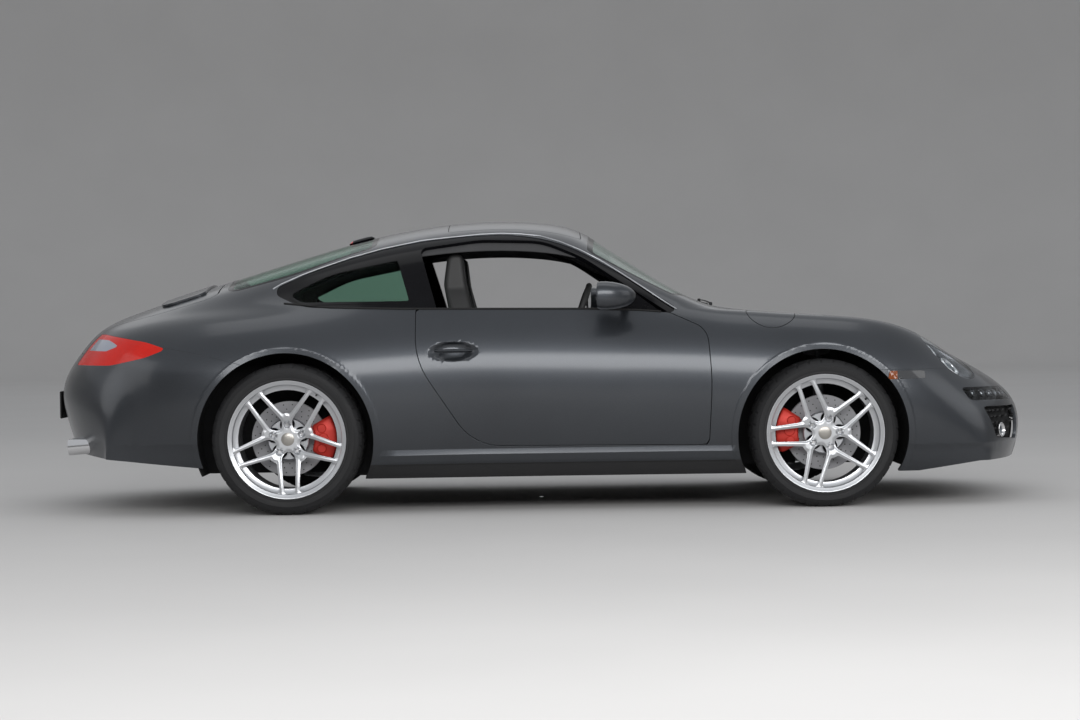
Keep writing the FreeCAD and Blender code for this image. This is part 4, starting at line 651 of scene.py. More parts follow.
def node(tree: Tree, kind: str, **inputs) -> bpy.types.Node:
    """Adds a shader node.

    Args:
        tree: node tree that takes it.
        kind: node type, without its first word.
        inputs: value of each input, or the socket that feeds it; an underscore is a space.
    Returns:
        The node.
    """
    made = tree.nodes.new("ShaderNode" + kind)
    feed(tree, made, **inputs)
    return made


def feed(tree: Tree, made: bpy.types.Node, **inputs) -> None:
    """Sets inputs of a node, or links them to the sockets given."""
    for name, value in inputs.items():
        socket = made.inputs[name.replace("_", " ")]
        if isinstance(value, Socket):
            tree.links.new(value, socket)
        else:
            socket.default_value = value


@dataclass(frozen=True)
class Finish:
    """A surface finish with grain, mottling and wandering roughness worked out from the surface's
    own places.

    Args:
        name: name of the material.
        colour: base colour, linear.
        rough: roughness.
        metal: metallic share.
        coat: clear coat.
        mottle: how far the colour wanders.
        grain: cells of the fine relief to the metre.
        relief: depth of the fine relief in metres.
        clear: transmission.
        glow: emission strength of the base colour.
        index: index of refraction.
        coat_rough: roughness of the clear coat.
        rough_spread: how far the roughness wanders.
        blotch: cells of the mottling to the metre.
    """

    name: str
    colour: tuple
    rough: float = 0.5
    metal: float = 0.0
    coat: float = 0.0
    mottle: float = 0.06
    grain: float = 400.0
    relief: float = 0.0
    clear: float = 0.0
    glow: float = 0.0
    index: float = 1.45
    coat_rough: float = 0.03
    rough_spread: float = 0.06
    blotch: float = 9.0

    def material(self) -> bpy.types.Material:
        """The material, made once."""
        found = bpy.data.materials.get(self.name)
        return found or self.build()

    def build(self) -> bpy.types.Material:
        """Builds the nodes of the finish."""
        material = bpy.data.materials.new(self.name)
        material.use_nodes = True
        tree = material.node_tree
        shader = tree.nodes["Principled BSDF"]
        feed(tree, shader, Metallic=self.metal, Coat_Weight=self.coat,
             Coat_Roughness=self.coat_rough, Transmission_Weight=self.clear, IOR=self.index)
        if self.glow:
            feed(tree, shader, Emission_Color=(*self.colour, 1), Emission_Strength=self.glow)
        place = node(tree, "TexCoord").outputs["Object"]
        cloud = self.texture(tree, place, self.blotch)
        feed(tree, shader, Base_Color=self.spread(tree, cloud), Roughness=self.wander(tree, cloud))
        if self.relief:
            bump = node(tree, "Bump", Distance=self.relief, Height=self.emboss(tree, place))
            feed(tree, shader, Normal=bump.outputs["Normal"])
        return material

    def texture(self, tree: Tree, place: Socket, scale: float) -> Socket:
        """Noise of a given scale, as a value from 0 to 1."""
        return node(tree, "TexNoise", Scale=scale, Detail=4.0, Vector=place).outputs["Fac"]

    def spread(self, tree: Tree, value: Socket) -> Socket:
        """Base colour that wanders with the noise."""
        ramp = node(tree, "ValToRGB", Fac=value)
        ends = ramp.color_ramp.elements
        ends[0].position, ends[1].position = NOISE_RANGE
        ends[0].color = (*(c * (1 - self.mottle) for c in self.colour), 1)
        ends[1].color = (*(min(1.0, c * (1 + self.mottle)) for c in self.colour), 1)
        return ramp.outputs["Color"]

    def wander(self, tree: Tree, value: Socket) -> Socket:
        """Roughness that wanders with the noise."""
        low, high = (self.rough + way * self.rough_spread * self.rough for way in (-1, 1))
        return node(tree, "MapRange", Value=value, From_Min=NOISE_RANGE[0],
                    From_Max=NOISE_RANGE[1], To_Min=max(0.0, low),
                    To_Max=min(1.0, high)).outputs["Result"]

    def emboss(self, tree: Tree, place: Socket) -> Socket:
        """Height of the fine relief."""
        return self.texture(tree, place, self.grain)


@dataclass(frozen=True)
class Paint(Finish):
    """Metallic body paint under a clear coat, with its flakes."""

    flakes: float = 1500.0
    flake_share: float = 0.45

    def spread(self, tree: Tree, value: Socket) -> Socket:
        """Flakes of slightly different brightness over the wandering base."""
        place = tree.nodes["Texture Coordinate"].outputs["Object"]
        cells = node(tree, "TexVoronoi", Scale=self.flakes, Vector=place)
        split = node(tree, "SeparateColor", Color=cells.outputs["Color"])
        base = self.sum_of(tree, value, 1 - self.flake_share, 0.0)
        total = self.sum_of(tree, split.outputs["Red"], self.flake_share, base)
        return super().spread(tree, total)

    def sum_of(self, tree: Tree, value: Socket, share: float, base: Socket | float) -> Socket:
        """A share of a value on top of a base, which is a number or a socket."""
        step = node(tree, "Math")
        step.operation = "MULTIPLY_ADD"
        for socket, term in zip(step.inputs, (value, share, base)):
            if isinstance(term, Socket):
                tree.links.new(term, socket)
            else:
                socket.default_value = term
        return step.outputs["Value"]


@dataclass(frozen=True)
class Leather(Finish):
    """Grained leather: small cells with soft creases between them."""

    def emboss(self, tree: Tree, place: Socket) -> Socket:
        """Cells of the grain."""
        return node(tree, "TexVoronoi", Scale=self.grain, Vector=place).outputs["Distance"]


PAINT = Paint("graphite_paint", (.052, .057, .065), rough=.38, metal=.88, coat=.8, coat_rough=.17,
              mottle=.16, blotch=2.0, rough_spread=.03)
INNER_PAINT = Finish("inner_paint", (.030, .032, .035), rough=.55, metal=.2, mottle=.1,
                     relief=.0002)
BLACK_GLOSS = Finish("gloss_black", (.004, .004, .005), rough=.14, index=1.25, mottle=.1,
                     blotch=20)
BLACK_PLASTIC = Finish("moulded_black", (.014, .014, .015), rough=.62, relief=.0003, grain=900)
RUBBER_SEAL = Finish("seal_rubber", (.009, .009, .009), rough=.75, relief=.0003, grain=600)
TYRE_RUBBER = Finish("tyre_rubber", (.013, .013, .014), rough=.66, relief=.0004, grain=260,
                     mottle=.25, rough_spread=.15)
SILVER = Finish("rim_silver", (.66, .67, .69), rough=.27, metal=.82, coat=.5, mottle=.03,
                relief=.00003, grain=2500)
CHROME = Finish("bright_metal", (.78, .78, .79), rough=.08, metal=1.0, mottle=.02, blotch=40)
SATIN_METAL = Finish("satin_metal", (.50, .51, .53), rough=.34, metal=1.0, mottle=.05)
CAST = Finish("cast_metal", (.20, .20, .21), rough=.55, metal=.8, mottle=.2, relief=.0006,
              grain=250)
# Disc colour darkened as painted shade for the shadow that the spokes cast on the disc.
SHADED_DISC_STEEL = Finish("disc_steel", (.17, .17, .18), rough=.30, metal=1.0, mottle=.1, relief=.0001,
               grain=800)
RED_CALIPER = Finish("caliper_red", (.62, .014, .008), rough=.28, coat=.7, mottle=.08,
                     relief=.0002, grain=300)
# Real soot inside the exhaust tips; on the brake discs the same near-black is painted shade, flat
# patches standing in for the drilled holes.
SOOT_AND_HOLE_SHADE = Finish("soot_and_hole_shade", (.012, .011, .010), rough=.9, mottle=.4)
LEATHER = Leather("seat_leather", (.020, .020, .022), rough=.46, relief=.0004, grain=520,
                  mottle=.18)
SOFT_TRIM = Leather("soft_trim", (.016, .016, .017), rough=.66, relief=.0003, grain=700,
                    mottle=.15)
CARPET = Finish("carpet", (.012, .012, .013), rough=.95, relief=.0015, grain=900, mottle=.4)
HEADLINER = Finish("headliner", (.055, .055, .057), rough=.95, relief=.0005, grain=1400, mottle=.1)
SCREEN_GLASS = Finish("screen_glass", (.80, .90, .84), rough=.0, clear=1.0, index=1.08, mottle=.01)
TINTED_GLASS = Finish("tinted_glass", (.50, .70, .60), rough=.0, clear=1.0, index=1.08, mottle=.01)
CLEAR_LENS = Finish("clear_lens", (.93, .95, .96), rough=.01, clear=1.0, index=1.15, mottle=.01)
RED_LENS = Finish("red_lens", (.60, .010, .002), rough=.16, clear=.15, coat=.3, index=1.3,
                  relief=.0016, grain=75, mottle=.08, glow=.12)
WHITE_LENS = Finish("white_lens", (.46, .50, .60), rough=.08, clear=.35, coat=1.0, mottle=.03)
AMBER_LENS = Finish("amber_lens", (.34, .075, .008), rough=.1, clear=.3, coat=.8, mottle=.05)
MIRROR_GLASS = Finish("mirror_glass", (.75, .77, .78), rough=.02, metal=1.0, mottle=.01)
CAP_METAL = Finish("wheel_cap", (.42, .40, .37), rough=.35, metal=.9, mottle=.05)
# Bowl colour kept dark as painted reflection: it stands in for the dark surroundings seen in the
# lens; the bumper lamps' cups share it.
LAMP_BOWL = Finish("lamp_bowl", (.13, .135, .145), rough=.26, metal=.9, mottle=.04, blotch=30)
LAMP_BOWL_RED = Finish("red_bowl", (.30, .006, .004), rough=.3, metal=.3, coat=.4, relief=.0012,
                       grain=120)
PROJECTOR_GLASS = Finish("projector_glass", (.10, .12, .14), rough=.03, coat=1.0, mottle=.04,
                         blotch=30)
RED_LIGHT = Finish("red_light", (.90, .06, .03), rough=.2, coat=.6, glow=.25, mottle=.04)
WHITE_LIGHT = Finish("white_light", (.70, .72, .74), rough=.2, coat=.6, glow=.05, mottle=.02)
SMOKED_LENS = Finish("smoked_lens", (.060, .062, .066), rough=.08, clear=.3, coat=1.0, mottle=.04)
MESH = Finish("duct_mesh", (.008, .008, .009), rough=.85, relief=.0012, grain=300, mottle=.3)
THREAD = Finish("sewing_thread", (.035, .035, .037), rough=.8, relief=.0002, grain=1500)
DIAL_FACE = Finish("dial_face", (.020, .020, .022), rough=.35, coat=.5, mottle=.05, blotch=40)


# The body's surface


def spline_basis(count: int, places: Array) -> Array:
    """Values of a clamped uniform cubic basis.

    Args:
        count: number of control points.
        places: parameters from 0 to count - 3.
    Returns:
        One row per parameter, one column per control point.
    """
    knots = np.concatenate([[0] * 3, np.arange(count - 2), [count - 3] * 3]).astype(float)
    places = np.minimum(places, count - 3 - 1e-9)
    value = ((places[:, None] >= knots[:-1]) & (places[:, None] < knots[1:])).astype(float)
    for degree in range(1, 4):
        size = value.shape[1] - 1
        fresh = np.zeros((len(places), size))
        for k in range(size):
            low, high = knots[k + degree] - knots[k], knots[k + degree + 1] - knots[k + 1]
            if low:
                fresh[:, k] += (places - knots[k]) / low * value[:, k]
            if high:
                fresh[:, k] += (knots[k + degree + 1] - places) / high * value[:, k + 1]
        value = fresh
    return value


def body_net() -> Array:
    """Control net of the body's outer skin: one row per section, right foot to left foot."""
    net = []
    for x, sweep, foot, *rest in SECTIONS:
        top = rest[-1]
        half = [(foot, FLOOR_HEIGHT)] + list(zip(rest[0:-1:2], rest[1:-1:2]))
        roof, roof_z = half[-1]
        half += [(0.5 * roof, 0.3 * roof_z + 0.7 * top), (0.0, top)]
        full = [(-y, z) for y, z in half] + half[-2::-1]
        inwards = -sweep if x > 0 else sweep
        net.append([(x + CENTRE + inwards * abs(y / foot) ** 3, y, z) for y, z in full])
    return np.array(net)


def even_places(net: Array, axis: int) -> Array:
    """Parameters along one way of the net, about a cell apart on the surface."""
    lengths = np.linalg.norm(np.diff(net, axis=axis), axis=2).max(axis=1 - axis)
    count = net.shape[axis]
    places = []
    for k in range(count - 3):
        near = lengths[max(0, k):min(count - 1, k + 3)].mean()
        steps = max(3, math.ceil(near / SKIN_CELL))
        places += list(k + np.arange(steps) / steps)
    return np.array(places + [count - 3.0])


def body_surface() -> Sheet:
    """The whole outer surface as one fine sheet."""
    net = body_net()
    u, v = even_places(net, 0), even_places(net, 1)
    points = np.einsum("ai,ijk,bj->abk", spline_basis(net.shape[0], u), net,
                       spline_basis(net.shape[1], v))
    du, dv = np.gradient(points, u, axis=0), np.gradient(points, v, axis=1)
    normals = np.cross(du, dv)
    normals /= np.maximum(np.linalg.norm(normals, axis=2, keepdims=True), 1e-12)
    rows, columns = points.shape[:2]
    index = np.arange(rows * columns).reshape(rows, columns)
    a, b = index[:-1, :-1].ravel(), index[1:, :-1].ravel()
    c, d = index[1:, 1:].ravel(), index[:-1, 1:].ravel()
    return Sheet(points.reshape(-1, 3), normals.reshape(-1, 3), split_cells(a, b, c, d))


def in_side_view(outline: Outline, grow: float = 0.0, inner: float = 0.55) -> Callable:
    """Depth inside a side-view outline on both sides of the car."""
    def depth(sheet: Sheet) -> Array:
        x, y, z = sheet.points.T
        return np.minimum(outline.depth(x, z, grow), np.abs(y) - inner)
    return depth


def through(outline: Outline, grow: float) -> Callable:
    """Depth inside a side-view outline right through the car."""
    return lambda sheet: outline.depth(sheet.points[:, 0], sheet.points[:, 2], grow)


def in_top_view(outline: Outline, low: float, grow: float = 0.0) -> Callable:
    """Depth inside a top-view outline above a height."""
    def depth(sheet: Sheet) -> Array:
        x, y, z = sheet.points.T
        return np.minimum(outline.depth(x, y, grow), z - low + grow)
    return depth


def in_front_view(outline: Outline) -> Callable:
    """Depth inside an outline (across, up) seen from the front, on both sides."""
    def depth(sheet: Sheet) -> Array:
        x, y, z = sheet.points.T
        return np.minimum(outline.depth(np.abs(y) + CENTRE, z), x - 1.6)
    return depth


def in_box(low: Sequence, high: Sequence) -> Callable:
    """Depth inside a box."""
    def depth(sheet: Sheet) -> Array:
        return np.minimum(sheet.points - np.array(low), np.array(high) - sheet.points).min(1)
    return depth


def in_arch(corner: Corner, grow: float = 0.0) -> Callable:
    """Depth inside a wheel arch grown by grow."""
    def depth(sheet: Sheet) -> Array:
        x, y, z = sheet.points.T
        x0, z0 = corner.arch_centre
        return np.minimum(corner.arch + grow - np.hypot(x - x0, z - z0), np.abs(y) - 0.5)
    return depth


def slotted(sheet: Sheet, places: Sequence) -> Sheet:
    """A lid's sheet with a pair of cross slots at each drawing place."""
    for x in places:
        for low, high in SLOT_SPANS:
            sheet = sheet.split(in_box((x + CENTRE, low, .8),
                                       (x + CENTRE + SLOT_WIDTH, high, 1.2)))[1]
    return sheet


@dataclass
class BodySkin:
    """The painted skin: creases are pressed into the surface, then the panels are cut from it."""

    lip_width: float = 0.030
    lip_slope: float = 0.04
    lip_fade: float = 0.006
    sill_bulge: float = 0.010
    crease: float = 0.007
    crease_rear: float = 0.312
    crease_front: float = 0.268
    handle_depth: float = 0.026
    foot: float = 0.150
    sheet: Optional[Sheet] = None
    whole: Optional[Sheet] = None
    panels: dict = field(default_factory=dict)

    def prepare(self) -> None:
        """Makes the surface and presses its creases."""
        self.sheet = body_surface()
        for corner in (FRONT, REAR):
            self.press_arch(corner)
        self.press_sills()
        self.press_bumpers()
        self.press_handles()
        self.tree = BVHTree.FromPolygons(self.sheet.points.tolist(), self.sheet.triangles.tolist())

    def press(self, depths: Sequence[Callable], push: Callable) -> None:
        """Scores lines in the surface, then moves it along y by push.

        Args:
            depths: fields whose zero lines become edges.
            push: outward move for each corner of the sheet.
        """
        for depth in depths:
            self.sheet, _ = self.sheet.score(depth)
        points = self.sheet.points.copy()
        points[:, 1] += np.sign(points[:, 1]) * push(self.sheet)
        self.sheet = self.sheet.moved(points)

    def press_arch(self, corner: Corner) -> None:
        """Flattens a band round a wheel arch into its upright lip."""
        tree = BVHTree.FromPolygons(self.sheet.points.tolist(), self.sheet.triangles.tolist())
        x0, z0 = corner.arch_centre
        ring = corner.arch + self.lip_width

        def push(sheet: Sheet) -> Array:
            x, y, z = sheet.points.T
            reach = np.hypot(x - x0, z - z0)
            result = np.zeros(len(x))
            band = np.where((reach < ring) & (reach > corner.arch - .03)
                            & (np.abs(y) > .6) & (z > .14))[0]
            for i in band:
                out = ring / reach[i]
                start = Vector((x0 + (x[i] - x0) * out, math.copysign(2, y[i]),
                                z0 + (z[i] - z0) * out))
                hit = tree.ray_cast(start, Vector((0, -math.copysign(1, y[i]), 0)))[0]
                if hit is not None and abs(hit.y) > .6:
                    near = abs(hit.y) + self.lip_slope * (ring - reach[i]) + .0025
                    result[i] = min(.012, max(-.03, near - abs(y[i])))
            return result * (1 - smooth_step(reach, ring - self.lip_fade, ring))

        self.press([in_arch(corner, self.lip_width - self.lip_fade),
                    in_arch(corner, self.lip_width)], push)

    def press_sills(self) -> None:
        """Bulges the sills below the doors and tucks in their lower edge."""
        def push(sheet: Sheet) -> Array:
            x, y, z = sheet.points.T
            rise = smooth_step(-z, -SILL_TOP, -.250) - .5 * smooth_step(-z, -.216, -.208)
            ends = (smooth_step(x, -.80 + CENTRE, -.70 + CENTRE)
                    * smooth_step(-x, -.80 - CENTRE, -.76 - CENTRE))
            return self.sill_bulge * rise * ends * (np.abs(y) > .6) * (z > .14)

        heights = [lambda s, h=h: np.where(np.abs(s.points[:, 0]) < .95, s.points[:, 2] - h, -1)
                   for h in (SILL_TOP, .250, .216, .208)]
        self.press(heights, push)

    def press_bumpers(self) -> None:
        """Presses the low crease of each bumper."""
        def push(sheet: Sheet) -> Array:
            x, y, z = sheet.points.T
            rear = (smooth_step(-z, -self.crease_rear, -.290) * smooth_step(-x, 1.36, 1.5)
                    * smooth_step(x, -2.05, -1.75))
            front = smooth_step(-z, -self.crease_front, -.248) * smooth_step(x, 1.55, 1.65)
            return -self.crease * np.maximum(rear, front) * (np.abs(y) > .4)

        self.press([lambda s: np.where(s.points[:, 0] < -1.3, s.points[:, 2] - self.crease_rear,
                                       -1),
                    lambda s: np.where(s.points[:, 0] > 1.5, s.points[:, 2] - self.crease_front,
                                       -1)], push)

    def press_handles(self) -> None:
        """Presses the oval bowl behind each door handle."""
        def ratio(sheet: Sheet) -> Array:
            x, y, z = sheet.points.T
            round_it = np.hypot((x - HANDLE_AT[0] - CENTRE) / HANDLE_BOWL[0],
                                (z - HANDLE_AT[1]) / HANDLE_BOWL[1])
            return np.where(np.abs(y) > .6, round_it, 9)

        def push(sheet: Sheet) -> Array:
            return -self.handle_depth * (1 - smooth_step(ratio(sheet), .55, 1.0))

        self.press([lambda s: .04 * (1 - ratio(s)), lambda s: .04 * (.8 - ratio(s))], push)

    def at(self, start: Sequence, way: Sequence) -> tuple:
        """Where a ray meets the surface.

        Args:
            start: first point of the ray.
            way: its direction.
        Returns:
            The place and the outward normal.
        """
        place, normal, _, _ = self.tree.ray_cast(Vector(start), Vector(way).normalized())
        if place is None:
            raise ValueError(f"no skin along {way} from {start}")
        return place, normal if normal.dot(Vector(way)) < 0 else -normal

    def beside(self, x: float, z: float, side: Side) -> tuple:
        """Place and normal of the skin at a drawing x and a height."""
        return self.at((x + CENTRE, side.value * 2, z), (0, -side.value, 0))

    def over(self, x: float, y: float) -> tuple:
        """Place and normal of the skin's top at a drawing x and y."""
        return self.at((x + CENTRE, y, 2), (0, 0, -1))

    def carve(self, name: str, depth: Callable, room: Optional[Callable] = None) -> None:
        """Takes a panel out of the sheet, with room round it if given."""
        inside, outside = self.sheet.split(depth)
        self.panels[name] = inside
        if room is not None:
            outside = self.sheet.split(room)[1]
        self.sheet = outside

    def carve_apart(self, name: str, field_of: Callable, *args, gap: float = PANEL_GAP) -> None:
        """Takes a panel out of the sheet with an even gap round it.

        Args:
            name: name of the panel.
            field_of: makes the depth field, with how far it grows as last argument.
            args: the arguments before that one.
            gap: width of the gap.
        """
        self.carve(name, field_of(*args, -gap / 2), field_of(*args, gap / 2))

    def cut(self) -> None:
        """Cuts the arches and undercuts away and the panels apart."""
        self.whole = self.sheet
        for corner in (FRONT, REAR):
            self.sheet = self.sheet.split(in_arch(corner))[1]
        for low in (FRONT_UNDERCUT, REAR_UNDERCUT):
            self.sheet = self.sheet.split(through(low, 0))[1]
        self.sheet = self.sheet.split(lambda s: self.foot - s.points[:, 2])[1]
        self.carve_apart("doors", in_side_view, DOOR)
        self.carve("door_windows", in_side_view(DOOR_WINDOW, 0, .48))
        self.carve("quarter_windows", in_side_view(QUARTER_WINDOW, 0, .48))
        self.carve("window_bands", in_side_view(WINDOW_BAND, 0, .48))
        self.carve("windscreen", in_top_view(WINDSCREEN, .86))
        self.carve("rear_window", in_top_view(REAR_WINDOW, .93))
        self.carve_apart("front_lid", in_top_view, FRONT_LID, .56)
        self.carve_apart("engine_lid", in_top_view, ENGINE_LID, LID_FOOT)
        self.trim_engine_lid()
        self.carve_apart("sunroof", in_top_view, SUNROOF, 1.15)
        self.carve("headlamps", in_headlamp(0))
        self.carve("tail_lamps", in_side_view(TAIL_LAMP, 0, LAMP_INNER))
        self.carve_apart("fuel_flap", in_flap)
        self.carve("lamp_bars", in_front_view(LAMP_BAR))
        self.carve("markers", in_side_view(MARKER, 0, .700))
        self.carve("corner_intakes", in_front_view(CORNER_INTAKE))
        self.carve("centre_intake", in_front_view(CENTRE_INTAKE))
        self.carve_apart("front_bumper", through, FRONT_BUMPER, gap=BUMPER_GAP)
        self.carve_apart("rear_bumper", through, REAR_BUMPER, gap=BUMPER_GAP)
        self.carve("sills", in_box((-.95, -1, 0), (1, 1, SILL_TOP)))
        self.carve("cowl", in_top_view(COWL, .84))
        self.panels["cowl"] = self.panels["cowl"].split(in_top_view(FRONT_LID, .56, COWL_GAP))[1]
        self.carve("fenders", in_box((FENDER_REAR + CENTRE, -1, 0), (3, 1, 2)))
        self.carve("roof", in_box((-.9 + CENTRE, -SEAM_ROOF, 1.15), (.25 + CENTRE, SEAM_ROOF, 2)))
        self.panels["sides"] = self.sheet

    def trim_engine_lid(self) -> None:
        """Draws the engine lid's front edge back and cuts its slots."""
        lid = self.panels["engine_lid"].split(lambda s: -1.5265 + CENTRE - s.points[:, 0])[0]
        self.panels["engine_lid"] = slotted(lid, (-1.586, -1.569, -1.552))


HANDLE_AT = (-.447, .703)
HANDLE_BOWL = (.114, .045)
LAMP_AT = (1.772 + CENTRE, .632, .690)
LAMP_AXIS = (.66, .30, .69)
LAMP_HALF = (.168, .112)
FLAP_AT = (.956 + CENTRE, -.700)
FLAP_AXIS = (.03, -.42, .90)
FLAP_RADIUS = .108


def lamp_frame(side: Side) -> tuple:
    """Centre, long way, short way and axis of a headlamp."""
    centre = Vector((LAMP_AT[0], side.value * LAMP_AT[1], LAMP_AT[2]))
    axis = Vector((LAMP_AXIS[0], side.value * LAMP_AXIS[1], LAMP_AXIS[2])).normalized()
    wide = axis.cross(Vector((1, 0, -1))).normalized()
    return centre, wide.cross(axis).normalized(), wide, axis


def in_headlamp(grow: float) -> Callable:
    """Depth inside the oval bars of both headlamps."""
    def depth(sheet: Sheet) -> Array:
        best = np.full(len(sheet.points), -1.0)
        for side in Side:
            centre, long_way, wide, axis = (np.array(v) for v in lamp_frame(side))
            away = sheet.points - centre
            a, b = away @ long_way / (LAMP_HALF[0] + grow), away @ wide / (LAMP_HALF[1] + grow)
            value = (1 - np.hypot(a, b)) * LAMP_HALF[1]
            best = np.maximum(best, np.where(np.abs(away @ axis) < .16, value, -1))
        return best
    return depth


def in_flap(grow: float) -> Callable:
    """Depth inside the round fuel flap."""
    axis = np.array(Vector(FLAP_AXIS).normalized())

    def depth(sheet: Sheet) -> Array:
        away = sheet.points - np.array((*FLAP_AT, .853))
        along = away @ axis
        off = np.linalg.norm(away - along[:, None] * axis, axis=1)
        return np.where(np.abs(along) < .08, FLAP_RADIUS + grow - off, -1)
    return depth


def one_side(sheet: Sheet, side: Side) -> Sheet:
    """The half of a sheet on one side of the car."""
    middle = sheet.points[sheet.triangles].mean(1)[:, 1]
    return sheet.part(middle * side.value > 0)


def lowered(sheet: Sheet, depth: float) -> Sheet:
    """The sheet moved inwards."""
    return Sheet(sheet.points - sheet.normals * depth, sheet.normals, sheet.triangles)


def marked(sheet: Sheet, depth: Callable) -> tuple:
    """A sheet scored along a field, and the mark of each triangle: 0 inside, 1 outside."""
    scored, side = sheet.score(depth)
    return scored, np.where(side, 0, 1)


def marked_shell(sheet: Sheet, marks: Array, depth: float) -> tuple:
    """A shell whose faces keep the marks of the sheet; its edges get mark 1."""
    made = shell(sheet, depth, .0010)
    middle = len(made.triangles) - 2 * len(marks)
    return made, np.concatenate([marks, np.ones(middle, int), marks])


# Panels that pass close to a neighbour when they move, and their thickness
THIN = {"front_lid": .007, "cowl_panel": .005}


@dataclass
class BodyPanels:
    """Painted panels, each as a thin shell on its own body."""

    skin: BodySkin
    depth: float = .016

    def build(self) -> None:
        """Makes every painted panel."""
        panels = self.skin.panels
        rows = (
            ("front_lid_panel", panels["front_lid"], "front_lid", "front_lid"),
            ("engine_lid_panel", panels["engine_lid"], "engine_lid", "engine_lid"),
            ("front_bumper_skin", panels["front_bumper"], "root", "front_bumper"),
            ("rear_bumper_skin", panels["rear_bumper"], "root", "rear_bumper"),
            ("cowl_skin", panels["cowl"], "root", "cowl_panel"),
            ("front_fender_skins", panels["fenders"], "root", "front_fenders"),
            ("roof_skin", panels["roof"], "root", "roof_panel"),
            ("sunroof_skin", panels["sunroof"], "root", "roof_panel"),
            *((f"side_skin_{side.label}", one_side(panels["sides"], side), "root",
               f"side_panel_{side.label}") for side in Side),
            ("fuel_flap_skin", panels["fuel_flap"], "fuel_flap", "fuel_flap"),
            *((f"door_{side.label}_skin", one_side(panels["doors"], side), f"door_{side.label}",
               f"door_panel_{side.label}") for side in Side),
        )
        for row in rows:
            self.panel(*row)
        self.sills()

    def panel(self, name: str, sheet: Sheet, body: str, node: str) -> None:
        """One painted shell that stands for a node."""
        made = shell(sheet, THIN.get(node, self.depth))
        marks = np.zeros(len(made.triangles), int)
        marks[-len(sheet.triangles):] = 1
        sheet_piece(name, made, [PAINT, INNER_PAINT], body, [node], marks)

    def sills(self) -> None:
        """Sills: painted above, black below."""
        sheet, marks = marked(self.skin.panels["sills"], lambda s: s.points[:, 2] - .212)
        made, marks = marked_shell(sheet, marks, .05)
        sheet_piece("sill_skins", made, [PAINT, BLACK_PLASTIC], "root", ["sills"],
                    marks)


@dataclass
class Glazing:
    """Fixed glass with its black borders, and the black bands round the side windows."""

    skin: BodySkin
    border: float = .026
    wall: float = .0045

    def build(self) -> None:
        """Makes the panes and bands."""
        panels = self.skin.panels
        rows = (("windscreen_pane", "windscreen", in_top_view(WINDSCREEN, .8, -self.border),
                 SCREEN_GLASS),
                ("rear_window_pane", "rear_window", in_top_view(REAR_WINDOW, .8, -self.border),
                 TINTED_GLASS),
                ("quarter_window_panes", "quarter_windows",
                 in_side_view(QUARTER_WINDOW, -.010, .4), TINTED_GLASS))
        for name, node, depth, glass in rows:
            sheet, marks = marked(lowered(panels[node], .0015), depth)
            made, marks = marked_shell(sheet, marks, self.wall)
            sheet_piece(name, made, [glass, BLACK_GLOSS], "root", [node], marks)
        for side in Side:
            band = lowered(one_side(panels["window_bands"], side), .003)
            sheet_piece(f"window_band_{side.label}", shell(band, .020), [BLACK_GLOSS], "root")


